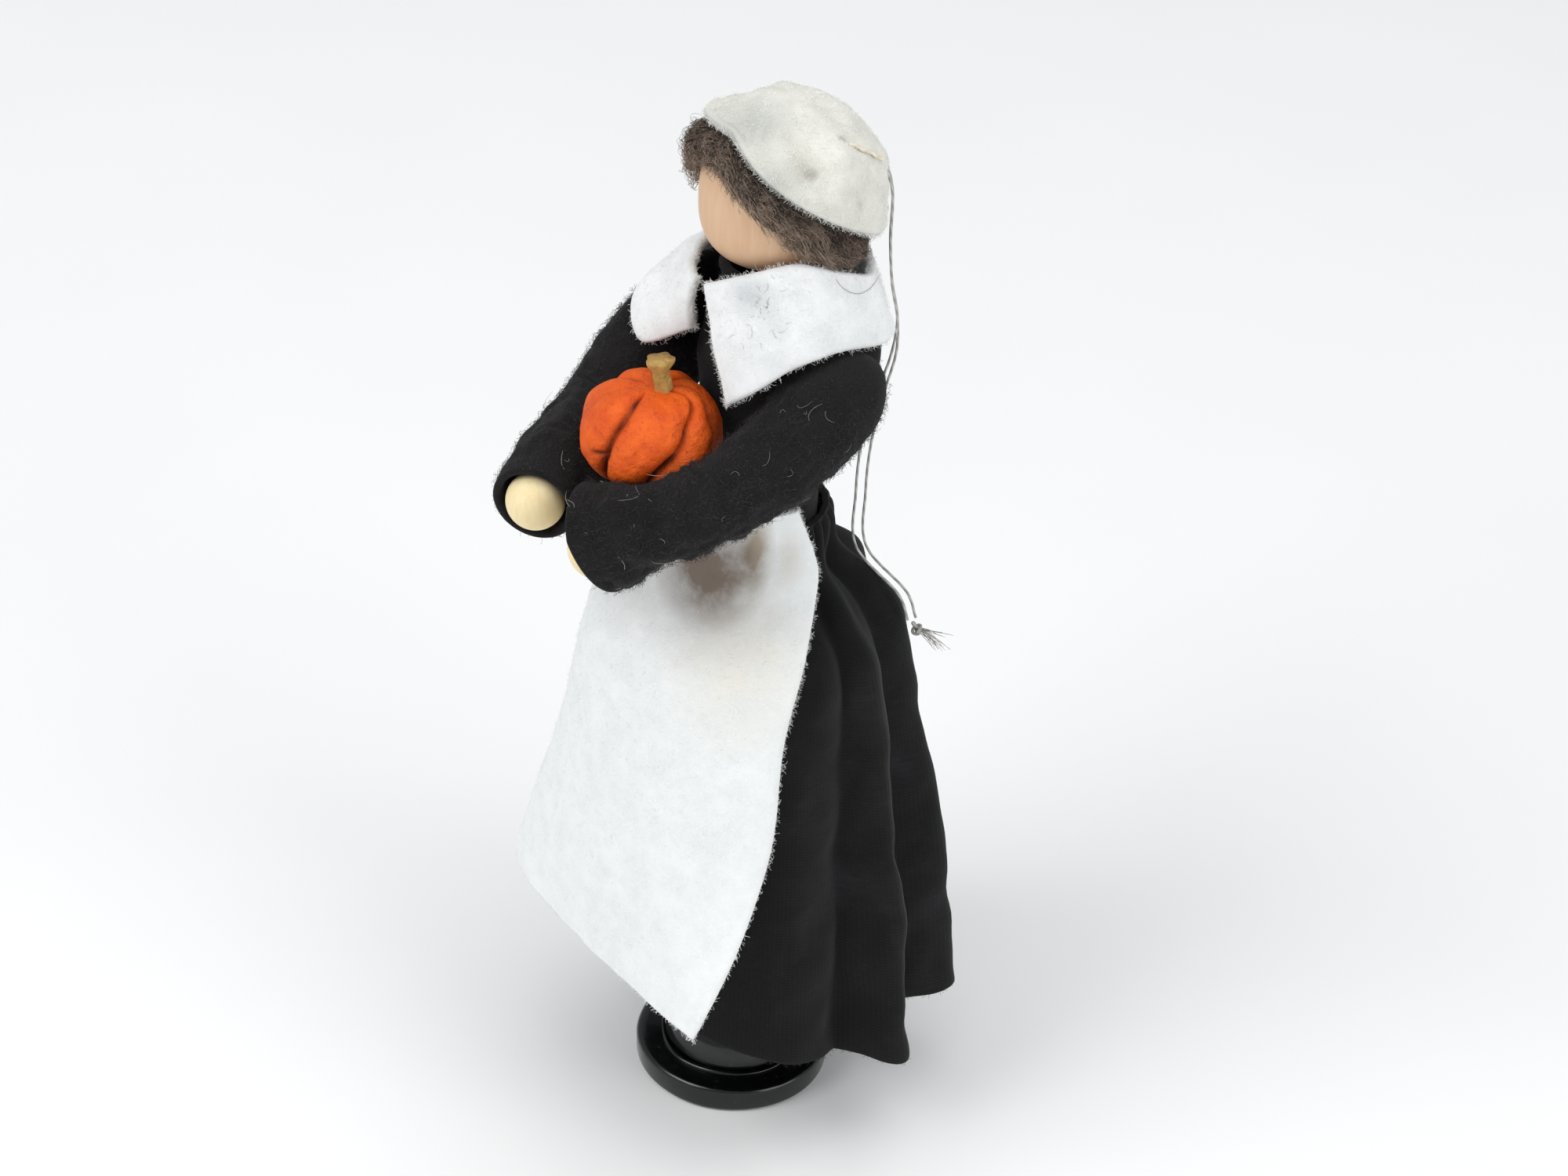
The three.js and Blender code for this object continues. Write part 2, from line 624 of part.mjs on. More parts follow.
function makeHand(name, side) {
  const boreRadius = STEM_RADIUS + CLEARANCE;
  const mouth = -Math.sqrt(HAND_RADIUS ** 2 - boreRadius ** 2);
  const profile = [[0, mouth + HAND_BORE_DEPTH], [boreRadius, mouth + HAND_BORE_DEPTH]];
  const steps = 8;
  const first = Math.atan2(mouth, boreRadius);
  for (let i = 0; i <= steps; i += 1) {
    const lift = mix(first, Math.PI / 2, i / steps);
    profile.push([HAND_RADIUS * Math.max(Math.cos(lift), 0), HAND_RADIUS * Math.sin(lift)]);
  }
  const hand = mesh(name, turned(profile, 16), MATERIALS.wood);
  const curve = armCurve(side);
  const tangent = curve.getTangentAt(1);
  hand.position.copy(curve.getPointAt(1)).addScaledVector(tangent, -HAND_SETBACK);
  hand.quaternion.setFromUnitVectors(new THREE.Vector3(0, 0, 1), tangent);
  return hand;
}

function makeArmStem(name, side) {
  const curve = armCurve(side);
  const length = curve.getLength();
  const start = (2 * STEM_RADIUS + CLEARANCE) / length;
  const mouth = HAND_SETBACK + HAND_RADIUS;
  const points = [];
  const steps = 10;
  for (let i = 0; i < steps; i += 1) points.push(curve.getPointAt(mix(start, 1 - mouth / length, i / steps)));
  for (const back of [mouth, mouth - HAND_BORE_DEPTH + CLEARANCE]) {
    points.push(curve.getPointAt(1).addScaledVector(curve.getTangentAt(1), -back));
  }
  return mesh(name, tube(smoothCurve(points), STEM_RADIUS, 16), MATERIALS.wire);
}

function makeShoulderStem() {
  const end = new THREE.Vector3(shoulderX, 0, shoulderZ);
  const start = end.clone().setX(-shoulderX);
  return mesh('shoulder_stem', rod(start, end, STEM_RADIUS, 8), MATERIALS.wire);
}

/** An arm as a group about its shoulder, with its sleeve, wire core and hand. */
function makeArm(word, side) {
  const arm = new THREE.Group();
  arm.position.set(side * shoulderX, 0, shoulderZ);
  arm.add(makeSleeve(`${word}_sleeve`, side));
  arm.add(makeArmStem(`${word}_arm_stem`, side));
  arm.add(makeHand(`${word}_hand`, side));
  return arm;
}

function makePumpkin() {
  const pumpkin = new THREE.Group();
  pumpkin.position.set(0, pumpkinY, pumpkinZ);
  const body = skinSolid({
    around: 6 * PUMPKIN_LOBES,
    along: 10,
    point: (u, v) => {
      const lift = Math.PI * (v - 0.5);
      const lobe = Math.abs(Math.cos(Math.PI * (PUMPKIN_LOBES * u)));
      const radius = (PUMPKIN_RADIUS - PUMPKIN_GROOVE * (1 - lobe)) * Math.max(Math.cos(lift), 0);
      const dimple = PUMPKIN_DIMPLE * Math.sign(lift) * Math.sin(lift) ** 8;
      const height = ((PUMPKIN_HEIGHT + PUMPKIN_DIMPLE) / 2) * Math.sin(lift) - dimple;
      return polar(2 * Math.PI * u, radius, height);
    },
  });
  pumpkin.add(mesh('pumpkin_body', body, MATERIALS.orangeClay));
  const stem = skinSolid({
    around: 10,
    along: 8,
    point: (u, v) => {
      const share = THREE.MathUtils.clamp((v * 8 - 1) / 6, 0, 1);
      const ends = v === 0 || v === 1 ? 0 : 1;
      const radius = ends * (PUMPKIN_STEM_RADIUS + PUMPKIN_STEM_FLARE * share ** 2);
      const point = polar(2 * Math.PI * u, radius, PUMPKIN_STEM_LENGTH * share);
      point.y += PUMPKIN_STEM_BEND * share ** 2;
      return point;
    },
  });
  const stemMesh = mesh('pumpkin_stem', stem, MATERIALS.tanClay);
  stemMesh.position.z = PUMPKIN_HEIGHT / 2 - PUMPKIN_DIMPLE / 2 + CLEARANCE;
  pumpkin.add(stemMesh);
  return pumpkin;
}

/** How much of the hem's front form holds at a turn: 1 where it is shortest, 0 opposite. */
function frontShare(turn, power) {
  return ((1 + Math.cos(turn - THREE.MathUtils.degToRad(HEM_LIFT_TURN))) / 2) ** power;
}

/** The skirt's middle surface without its folds, at a turn and a share of the way from waist to hem. */
function skirtSection(turn, share) {
  const hemRadius = mix(HEM_BACK_RADIUS, HEM_FRONT_RADIUS, frontShare(turn, HEM_TUCK_POWER));
  const hemLength = mix(HEM_BACK_LENGTH, HEM_FRONT_LENGTH, frontShare(turn, HEM_LIFT_POWER));
  const profile = [
    [waistRadius, 0],
    [waistRadius + WAIST_PUFF, WAIST_PUFF_LENGTH],
    [HIP_RADIUS, HIP_LENGTH],
    [mix(HIP_RADIUS, hemRadius, 0.5 + SKIRT_SWELL), mix(HIP_LENGTH, hemLength, 0.5)],
    [hemRadius, hemLength],
  ];
  const points = profile.map(([radius, length]) => new THREE.Vector2(radius, waistZ - length));
  return new THREE.SplineCurve(points).getPoint(share);
}

/** Depth of the folds in that surface. */
function foldDepth(turn, share) {
  const degrees = Math.abs(THREE.MathUtils.euclideanModulo(THREE.MathUtils.radToDeg(turn) + 180, 360) - 180);
  const sides = THREE.MathUtils.smoothstep(degrees, ...FOLD_SIDES);
  return FOLD_DEPTH * sides * THREE.MathUtils.smoothstep(share, ...FOLD_DROP);
}

function makeSkirt() {
  const place = (u, v, offset) => {
    const turn = 2 * Math.PI * u;
    const section = skirtSection(turn, v);
    const wave = Math.cos(FOLDS * (turn - THREE.MathUtils.degToRad(FOLD_TURN)));
    return polar(turn, section.x + foldDepth(turn, v) * wave + offset, section.y);
  };
  const geometry = sheetSolid({
    across: 7 * FOLDS,
    along: 8,
    ring: true,
    outer: (u, v) => place(u, v, COTTON / 2),
    inner: (u, v) => place(u, v, -COTTON / 2),
  });
  return mesh('skirt', geometry, MATERIALS.cotton);
}

/** Radius of the skirt over its folds, at a turn and height. */
function skirtReach(turn, z) {
  let low = 0;
  let high = 1;
  for (let i = 0; i < 20; i += 1) {
    const share = (low + high) / 2;
    if (skirtSection(turn, share).y > z) low = share;
    else high = share;
  }
  return skirtSection(turn, low).x + foldDepth(turn, low) + COTTON / 2;
}

/** Radius of the apron's inner side: it lies on the skirt at the top and hangs flat at the hem. */
function apronReach(turn, length) {
  const z = waistZ - Math.max(length, 0);
  const side = turn > 0 ? APRON_LEFT : APRON_RIGHT;
  const hemLength = APRON_EDGE.at(-1)[0];
  const share = Math.max((length - side.length) / (hemLength - side.length), 0) ** side.power;
  const room = CLEARANCE + APRON_EASE + APRON_STAND_OFF * Math.max(length / hemLength, 0);
  const lying = skirtReach(turn, z) + room;
  const front = skirtReach(0, z) + room;
  const power = 10; // how sharply the flat part turns to its furthest reach
  const flat = ((Math.cos(turn) / front) ** power + side.reach ** -power) ** (-1 / power);
  return Math.max(mix(lying, flat, share), lying);
}

function makeApron() {
  const edges = new THREE.SplineCurve(APRON_EDGE.map((point) => new THREE.Vector2(...point)));
  const place = (u, v, offset) => {
    const edge = edges.getPoint(v);
    const turn = THREE.MathUtils.degToRad(mix(-edge.y, edge.y, u));
    const drop = APRON_RIGHT_DROP * (1 - u) * v ** 2;
    return polar(turn, apronReach(turn, edge.x) + offset, waistZ - edge.x - drop);
  };
  const geometry = sheetSolid({
    across: 20,
    along: 12,
    outer: (u, v) => place(u, v, FELT),
    inner: (u, v) => place(u, v, 0),
  });
  return mesh('apron', geometry, MATERIALS.whiteFelt);
}

function vectors(points) {
  return points.map((point) => new THREE.Vector3(...point));
}

function makeStrand(name, points) {
  return mesh(name, tube(smoothCurve(vectors(points)), STRAND_RADIUS, STRAND_STEPS), MATERIALS.thread);
}

function makeKnot() {
  const [leftBefore, leftEnd] = vectors(LEFT_STRAND.slice(-2));
  const rightEnd = vectors(RIGHT_STRAND).at(-1);
  const heading = leftEnd.clone().sub(leftBefore).normalize();
  const knot = new THREE.SphereGeometry(KNOT_RADIUS, 12, 8);
  const tail = rod(new THREE.Vector3(), KNOT_TAIL, STRAND_RADIUS, 8);
  const piece = mesh('hang_knot', geometryOf(solidOf(knot).add(solidOf(tail))), MATERIALS.thread);
  piece.position.copy(leftEnd).lerp(rightEnd, 0.5).addScaledVector(heading, KNOT_RADIUS + CLEARANCE);
  return piece;
}

const doll = new THREE.Group();
doll.add(makeBase(), makePeg(), makeHead(), makeHair(), makeCap(), makeCapSeam());
doll.add(makeBodice(), makeCollar(), makeShoulderStem(), makePumpkin());
doll.add(makeArm('left', 1), makeArm('right', -1));
doll.add(makeSkirt(), makeApron());
doll.add(makeStrand('hang_strand_left', LEFT_STRAND), makeStrand('hang_strand_right', RIGHT_STRAND));
doll.add(makeKnot());

export default doll;
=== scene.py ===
"""Pilgrim peg doll with a clay pumpkin, dressed in felt and cotton: its looks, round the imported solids.

Sizes are millimetres as in the part's source, and meshes are made in metres. +Z is up and the doll faces -Y.
A turn is about the peg: 0 in front, 90 degrees on the doll's left.
"""
import math

import bmesh
import bpy
import numpy as np
from mathutils import Matrix, Vector


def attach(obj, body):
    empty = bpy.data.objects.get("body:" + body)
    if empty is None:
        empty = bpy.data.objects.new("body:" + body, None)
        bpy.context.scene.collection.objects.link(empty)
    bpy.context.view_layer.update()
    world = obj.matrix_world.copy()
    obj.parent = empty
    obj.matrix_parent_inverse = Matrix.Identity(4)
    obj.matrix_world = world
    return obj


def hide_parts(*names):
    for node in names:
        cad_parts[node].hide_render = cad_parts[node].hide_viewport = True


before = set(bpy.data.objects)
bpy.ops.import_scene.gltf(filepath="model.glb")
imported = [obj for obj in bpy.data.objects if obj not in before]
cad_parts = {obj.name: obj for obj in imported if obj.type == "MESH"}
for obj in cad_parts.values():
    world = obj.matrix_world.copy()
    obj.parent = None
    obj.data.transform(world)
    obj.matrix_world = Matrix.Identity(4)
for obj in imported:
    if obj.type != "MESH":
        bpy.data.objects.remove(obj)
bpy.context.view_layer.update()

MM = 0.001
TAU = 2 * math.pi

# ---- sizes, the same as in the part's source, apart from those that a comment says differ ----

FELT = 1.2
COTTON = 0.7
CLEARANCE = 0.3
BASE_RADIUS, BASE_HEIGHT = 11.1, 3.2
PEG_RADIUS, PEG_TOP = 4.9, 105.2
FOOT_RADIUS, FOOT_HEIGHT, FOOT_TAPER = 7.9, 2.4, 3.0
NECK_RADIUS, NECK_DROP = 2.6, 4
HEAD_RADIUS, HEAD_HALF, HEAD_MIDDLE, HEAD_BOTTOM = 7.85, 7.2, 116.4, 109.2
CROWN_POWER, CHIN_POWER = 2.4, 3.0
HAIR_GROWTH, HAIR_PUFF, HAIR_LUMP, HAIR_LOCKS = 1.3, 0.9, 0.22, 15
HAIR_LOW, HAIR_EDGE_RISE, HAIR_SAG, HAIR_TUCK = -2.2, 6.0, 1.3, math.radians(13)
CAP_GROWTH, CAP_EDGE, CAP_EDGE_RISE, CAP_ASKEW = 3.02, 1.8, 7.2, math.radians(30)
CAP_SLACK, CAP_CROWN_SLACK = 0.9, 0.2
# The seam at the back of the cap: turns in degrees, and heights over the head's middle.
SEAM_TURNS, SEAM_HEIGHTS, STITCH_RADIUS = (116, 126, 136), (8.4, 7.1, 5.4), 0.2
SHOULDER_X, SHOULDER_Z = 11.9, 97.4
SLEEVE_ROOT_RADIUS, SLEEVE_RADIUS, SLEEVE_WALL = 5.2, 4.4, 0.8
CUFF_START = 0.7
# Each sleeve: how far its cuff opens and climbs, how far the cuff is cut back, how much slimmer it is under the forearm
# and how far it swells to the pumpkin, and the seed of its lumps. Cut, slimness and swell aren't in the solids.
SLEEVES = {"left": ((1.5, 1.5), 1.3, 1.8, 1.9, 91), "right": ((0.2, 0.0), 0.0, 0.0, 3.2, 95)}
HAND_RADIUS, HAND_SETBACK = 3.175, 0.4
PUMPKIN_RADIUS, PUMPKIN_HALF, PUMPKIN_LOBES = 7.5, 6.6, 7
PUMPKIN_GROOVE, PUMPKIN_DIMPLE = 1.2, 1.2
PUMPKIN_MIDDLE, PUMPKIN_STEM_Z = np.array((0, -14.2, 91.8)), 97.5
STEM_RADIUS, STEM_FLARE, STEM_LENGTH, STEM_BEND = 1.05, 0.5, 3.5, 0.2
BODICE_RADIUS, BODICE_LOW, BODICE_SHOULDER, BODICE_NECK, BODICE_HIGH = 6.4, 74.9, 101.2, 4.1, 106.7
WAIST_Z, WAIST_RADIUS, WAIST_PUFF, WAIST_PUFF_LENGTH = 78.5, 7.05, 1.9, 6.0
HIP_RADIUS, HIP_LENGTH, SKIRT_SWELL = 15.4, 15.0, 0.1
HEM_BACK_RADIUS, HEM_FRONT_RADIUS = 21.5, 17.0
HEM_BACK_LENGTH, HEM_FRONT_LENGTH = 67.0, 55.2
HEM_LIFT_TURN, HEM_TUCK_POWER, HEM_LIFT_POWER = math.radians(-20), 2.6, 1.4
FOLDS, FOLD_DEPTH, FOLD_TURN = 9, 3.2, math.radians(108)
FOLD_SIDES, FOLD_DROP = (math.radians(60), math.radians(88)), (0.48, 0.88)
# The apron's sides: below the waist, and the turn in degrees there. It starts 1.6 mm higher than the solid does.
APRON_EDGE = [(-4.2, 82), (3.5, 96), (10.5, 77), (18.5, 67), (33.5, 62.5), (52.5, 46)]
APRON_EASE, APRON_STAND_OFF, APRON_DROP, APRON_LENGTH = 0.4, 1.6, 1.5, 52.5
APRON_LEFT_START, APRON_LEFT_POWER, APRON_LEFT_REACH = 28.5, 2.5, 33.0
APRON_RIGHT_START, APRON_RIGHT_POWER, APRON_RIGHT_REACH = 15.5, 1.9, 26.3
KNOT_MIDDLE, TAIL_WAY = (11.63, 13.55, 63.34), (2.0, 2.6, -1.2)

# Neck edge of the collar: turn in degrees, outside the head's radius, above the head's underside. On the doll's left
# it stands up to 0.8 mm closer to the hair than the solid does.
COLLAR_NECK = [
    (6, 0.8, -0.6), (37, 0.9, 2.2), (73, 0.9, 3.8), (102, 1.7, 2.0), (128, 2.5, 0.0),
    (180, 2.3, -0.9), (234, 2.1, -1.0), (281, -0.1, -1.0), (323, 0.2, -1.2), (354, 0.8, -1.0),
]
# Outer edge of the collar: out from the shoulder, y, above the sleeve's top at the shoulder.
COLLAR_TOP = 103.5
COLLAR_LEFT = [
    (-5.1, -9.4, -6.3), (-2.6, -8.0, -3.8), (-0.4, -4.0, -0.6),
    (0.3, 1.0, 0.0), (-0.8, 6.2, -1.5), (-3.8, 9.7, -2.7),
]
COLLAR_BACK = (11.0, -3.1)
COLLAR_RIGHT = [
    (-3.8, 9.7, -2.7), (-1.0, 6.0, -1.0), (0.3, 1.0, 0.0),
    (0.2, -5.0, -0.9), (-0.4, -9.3, -3.6), (-4.0, -10.6, -6.1), (-10.4, -8.3, -1.6),
]
COLLAR_CROWN = 0.5

# Arms: out from beside the pumpkin, y from its front, z from its underside.
BESIDE_X, FRONT_Y, UNDER_Z = 12.6, -21.7, 85.8
ARM_BENDS = {
    "left": [(-0.5, 15.7, 7.4), (-0.6, 8.5, 2.4), (-4.3, 2.6, -1.1), (-9.2, -1.4, -3.8)],
    "right": [(-0.6, 14.9, 7.4), (-1.0, 9.1, 1.8), (-3.4, 2.0, -1.2), (-7.8, -3.7, -2.0)],
}
OUTWARD = {"left": 1, "right": -1}

# Strands of the loop, from inside the cap's felt down the back to the knot. They lie up to 1.1 mm closer to the cap,
# collar and skirt than the solids do, and start a little higher.
STRANDS = {
    "left": [
        (6.75, 9.05, 119.8), (7.05, 9.68, 117), (7.15, 9.8, 111), (7.4, 10.2, 106), (7.5, 11.1, 101.5), (7, 11, 97),
        (5.9, 10, 91), (5.2, 9.2, 85), (5.1, 9.0, 79), (5.4, 9.3, 72), (10.3, 11.9, 67.5), (11, 12.75, 64.4),
    ],
    "right": [
        (5.8, 9.7, 119.8), (6.17, 10.3, 117), (6.25, 10.4, 111), (6.5, 10.8, 106), (6.65, 11.7, 101.5), (6.7, 11.9, 97),
        (6, 11, 91), (5.6, 10.2, 85), (5.5, 10.0, 79), (5.9, 10.3, 72), (10.8, 12.6, 67.9), (11.5, 13.41, 64.8),
    ],
}

# ---- what the solids leave out or have plainer ----

BASE_LOW_ROUND, BASE_TOP_ROUND, FOOT_ROUND, PEG_STRAIGHT_START = 0.7, 0.6, 0.35, 12
HAND_HOLE, HAND_HOLE_DEPTH = 0.75, 1.0
# The wool lies this far off the head, and the sleeves stay this far off the pumpkin.
HAIR_GLUE, PUMPKIN_ROOM = 0.12, 0.25
# Rough lengths of the felt's rows and columns, by which their steps are spread.
CAP_ARC, COLLAR_GIRTH, COLLAR_WIDTH, APRON_WIDTH = 20.0, 70.0, 11.0, 36.0
# The thread is thinner than the solid's, and its knot is tied, with a frayed tail.
THREAD_RADIUS, KNOT_THREAD_RADIUS, KNOT_SIZE, TAIL_THREADS, TAIL_RADIUS = 0.15, 0.18, 0.75, 26, 0.045
NAP_RADIUS, LINT_RADIUS, STRAY_HAIR_RADIUS, EDGE_FIBRES = 0.017, 0.02, 0.03, 2600
# The pumpkin's stem stands this far aside at its foot and at its top, to the doll's left and back.
STEM_ASIDE = (0.8, 0.3)
# Dents in the cap: place, width, depth.
CAP_DENTS = (
    ((8.8, -1.9, 123.5), 1.3, 0.5), ((6.8, 3.1, 125.2), 0.7, 0.4), ((-0.4, -4.6, 126.2), 3.2, 0.8),
    ((-6.6, 0.3, 124.7), 4.5, 0.9), ((1.5, 9.0, 122.5), 4.0, 0.5),
)
# The pinched fold in the cap, on the doll's left: its turn, width and depth.
CAP_FOLD, CAP_FOLD_DEPTH = (math.radians(38), 1 / 9), 0.3
# Wool curls in three layers: how many, lowest and highest share of the hair, how far they stray off it, radius.
CURLS = (
    (2500, 0.0, 0.98, 0.3, 0.042), (2500, -0.05, 0.98, 0.6, 0.03), (2600, -0.12, 0.95, 1.1, 0.018),
)
# Puffs at the shoulder of a left sleeve, mirrored for the right: direction and size. One is up and back, one below.
SHOULDER_PUFFS = (((0.2, 0.75, 0.65), 1.1), ((-0.4, -0.3, -0.85), 2.2))
# Where a left sleeve is slimmer under the forearm, and where its cuff is cut back, mirrored for the right.
FOREARM_UNDER, CUFF_CUT_SIDE = (0.65, 0, -0.75), (0.5, -0.2, -0.85)
# Radii and heights where the bodice's felt stands up round the neck.
BODICE_STAND = [(4.3, 107.3), (4.9, 108.5)]
# A crack in the pumpkin's clay, from the pumpkin's middle, and the middle of the smudge of lint on the collar.
CRACK_PLACE, CRACK_LENGTH, CRACK_WIDTH = (0.9, -6.9, -0.1), 1.1, 0.3
COLLAR_SMUDGE = (7.4, -6.2, 108.6)
# One hair that has come loose and lies on the collar.
STRAY_HAIR = [(10.0, 0.6, 111.5), (10.7, 1.5, 110.1), (10.9, 3.2, 109.0), (10.2, 5.3, 108.7), (8.1, 8.0, 108.4)]

# ---- camera ----

CAMERA_PLACE = Vector((0.32419, -0.23163, 0.35196))
CAMERA_TARGET = Vector((0.001857, 0.002557, 0.06672))
CAMERA_ROLL, CAMERA_LENS = math.radians(3.2), 103.56

camera = bpy.data.objects.new("photo_camera", bpy.data.cameras.new("photo_camera"))
camera.data.sensor_width = 36
camera.data.lens = CAMERA_LENS
camera.data.clip_start = 0.01
back = (CAMERA_PLACE - CAMERA_TARGET).normalized()
level = Vector((0, 0, 1)).cross(back).normalized()
upright = back.cross(level)
# the doll's own upright leans to the right in the picture
right = level * math.cos(CAMERA_ROLL) + upright * math.sin(CAMERA_ROLL)
camera.matrix_world = Matrix.Translation(CAMERA_PLACE) @ Matrix((right, back.cross(right), back)).transposed().to_4x4()
bpy.context.scene.collection.objects.link(camera)
bpy.context.scene.camera = camera


# ---- curves and fields ----

def polar(turn, radius, z):
    """The point at a turn about the peg, a distance out from its middle, at a height."""
    turn, radius, z = np.broadcast_arrays(turn, radius, z)
    return np.stack([radius * np.sin(turn), -radius * np.cos(turn), z], -1)


def mix(start, end, share):
    """The value a share of the way from start to end."""
    return start + (end - start) * share


def rise(value, low, high):
    """Smooth step: 0 below low, 1 above high, with level ends."""
    share = np.clip((value - low) / (high - low), 0, 1)
    return share * share * (3 - 2 * share)


def bell(value, middle, width):
    """Bell curve: 1 at its middle and about a third at its width to either side."""
    return np.exp(-((value - middle) / width) ** 2)


def unit(vectors):
    """The vectors at a length of one."""
    return vectors / np.maximum(np.linalg.norm(vectors, axis=-1, keepdims=True), 1e-9)


def hermite(start, end, leave, reach, t):
    """Cubic curve from start to end at t from 0 to 1, which sets off along leave and arrives along reach."""
    return (2 * start - 2 * end + leave + reach) * t**3 + (3 * end - 3 * start - 2 * leave - reach) * t**2 \
        + leave * t + start


def spline(points, share):
    """Uniform Catmull-Rom curve: points run along the first axis, and each share from 0 to 1 may have its own."""
    share = np.asarray(share, float)
    points = np.asarray(points, float)
    if points.ndim == 2:
        points = points.reshape(len(points), *([1] * share.ndim), -1)
    points = np.broadcast_to(points, (len(points), *share.shape, points.shape[-1]))
    last = len(points) - 1
    place = np.clip(share, 0, 1) * last
    start = np.minimum(place.astype(int), last - 1)
    t = (place - start)[..., None]
    a, b, c, d = (
        np.take_along_axis(points, np.clip(start + k, 0, last)[None, ..., None], 0)[0] for k in (-1, 0, 1, 2)
    )
    return hermite(b, c, (c - a) / 2, (d - b) / 2, t)


def route(points, count):
    """Centripetal Catmull-Rom curve through the points, at a count of even steps along its length."""
    points = np.asarray(points, float)
    ends = np.vstack([2 * points[0] - points[1], points, 2 * points[-1] - points[-2]])
    knots = np.linalg.norm(np.diff(ends, axis=0), axis=1) ** 0.5
    t = np.linspace(0, 1, 40, endpoint=False)[:, None]
    spans = []
    for k in range(len(points) - 1):
        a, b, c, d = ends[k:k + 4]
        before, here, after = knots[k:k + 3]
        leave = ((b - a) / before - (c - a) / (before + here) + (c - b) / here) * here
        reach = ((c - b) / here - (d - b) / (here + after) + (d - c) / after) * here
        spans.append(hermite(b, c, leave, reach, t))
    fine = np.vstack(spans + [points[-1:]])
    along = np.r_[0, np.cumsum(np.linalg.norm(np.diff(fine, axis=0), axis=1))]
    even = np.linspace(0, along[-1], count)
    return np.stack([np.interp(even, along, fine[:, k]) for k in range(3)], 1)


def carried(path):
    """Directions along and across a path, carried from point to point without twist."""
    along = unit(np.gradient(path, axis=0))
    across = np.empty_like(along)
    side = np.cross(along[0], (0.2, 0.1, 1.0))
    for k, ahead in enumerate(along):
        side = side - ahead * (side @ ahead)
        side /= np.linalg.norm(side)
        across[k] = side
    return along, across, np.cross(along, across)


def tube(path, radius, sides):
    """Round tube: a ring of the radius, which may change from point to point, about each point of a path."""
    _, across, other = carried(path)
    turn = np.linspace(0, TAU, sides, endpoint=False)[:, None]
    ring = across[:, None] * np.cos(turn) + other[:, None] * np.sin(turn)
    return path[:, None] + np.broadcast_to(radius, len(path))[:, None, None] * ring


def capped(rows):
    """A ring grid with its two ends drawn in to their middles, so that it closes."""
    return np.concatenate([
        np.broadcast_to(rows[:1].mean(1, keepdims=True), rows[:1].shape), rows,
        np.broadcast_to(rows[-1:].mean(1, keepdims=True), rows[-1:].shape),
    ])


def lathe(profile, sides):
    """A profile of radius and height, turned about the peg's middle."""
    turn = np.linspace(0, TAU, sides, endpoint=False)
    radius, height = np.asarray(profile, float).T[:, :, None]
    return polar(turn, radius, height)


def wobble(points, size, seed):
    """Smooth random field of about unit strength: plane waves of about one size, in random directions, summed."""
    waves = 16
    rng = np.random.default_rng(seed)
    waves_out = unit(rng.normal(size=(waves, 3))) * TAU / size * rng.uniform(0.6, 1.5, (waves, 1))
    return np.cos(points @ waves_out.T + rng.uniform(0, TAU, waves)).sum(-1) * math.sqrt(2 / waves)


def edged(size, count, rim):
    """Distances from 0 to size: close steps over the rim at both ends, even ones between."""
    near = rim * (1 - np.cos(np.linspace(0, math.pi / 2, 5)))
    return np.r_[near[:-1], np.linspace(rim, size - rim, count), (size - near[:-1])[::-1]]


def round_edge(distance, rim):
    """Share of the full thickness at a distance from a free edge: a quarter circle over the rim."""
    return np.sqrt(np.clip(1 - (1 - np.clip(distance / rim, 0, 1)) ** 2, 0, 1))


def grid_normals(grid, ring):
    """Outward unit normals of a grid, from the differences along its rows and columns."""
    down = np.gradient(grid, axis=0)
    over = np.roll(grid, -1, 1) - np.roll(grid, 1, 1) if ring else np.gradient(grid, axis=1)
    out = unit(np.cross(over, down))
    flat = np.linalg.norm(out, axis=-1).max(1) < 0.5
    out[flat] = unit(out[np.r_[flat[1:], False] | np.r_[False, flat[:-1]]].mean((0, 1))) if flat.any() else 0
    return out if (out * (grid - grid.mean((0, 1)))).sum() > 0 else -out


# ---- meshes ----

def piece(name, grids, ring, uv=None, marks=None):
    """Mesh of grids of points: four-sided faces between neighbours, round the ring where it closes.

    Equal points are merged. uv is in millimetres along the cloth, with one more column than the points where they
    close in a ring. marks are named values at the points, for the material.
    """
    points = np.concatenate([grid.reshape(-1, 3) for grid in grids])
    faces, corners, start = [], [], 0
    for grid in grids:
        index = start + np.arange(grid.shape[0] * grid.shape[1]).reshape(grid.shape[:2])
        wide = np.concatenate([index, index[:, :1]], 1) if ring else index
        faces.append(np.stack([wide[:-1, :-1], wide[:-1, 1:], wide[1:, 1:], wide[1:, :-1]], -1).reshape(-1, 4))
        if uv is not None:
            corners.append(np.stack([uv[:-1, :-1], uv[:-1, 1:], uv[1:, 1:], uv[1:, :-1]], 2).reshape(-1, 2))
        start += index.size
    mesh = bpy.data.meshes.new(name)
    mesh.from_pydata((points * MM).tolist(), [], np.concatenate(faces).tolist())
    if uv is not None:
        mesh.uv_layers.new(name="cloth").data.foreach_set("uv", np.concatenate(corners).ravel().astype(np.float32))
    for mark, values in (marks or {}).items():
        layer = mesh.attributes.new(mark, "FLOAT", "POINT")
        layer.data.foreach_set("value", np.concatenate([v.ravel() for v in values]).astype(np.float32))
    shell = bmesh.new()
    shell.from_mesh(mesh)
    bmesh.ops.remove_doubles(shell, verts=shell.verts, dist=1e-7)
    bmesh.ops.recalc_face_normals(shell, faces=shell.faces)
    shell.to_mesh(mesh)
    shell.free()
    mesh.polygons.foreach_set("use_smooth", np.ones(len(mesh.polygons), bool))
    made = bpy.data.objects.new(name, mesh)
    bpy.context.scene.collection.objects.link(made)
    return made


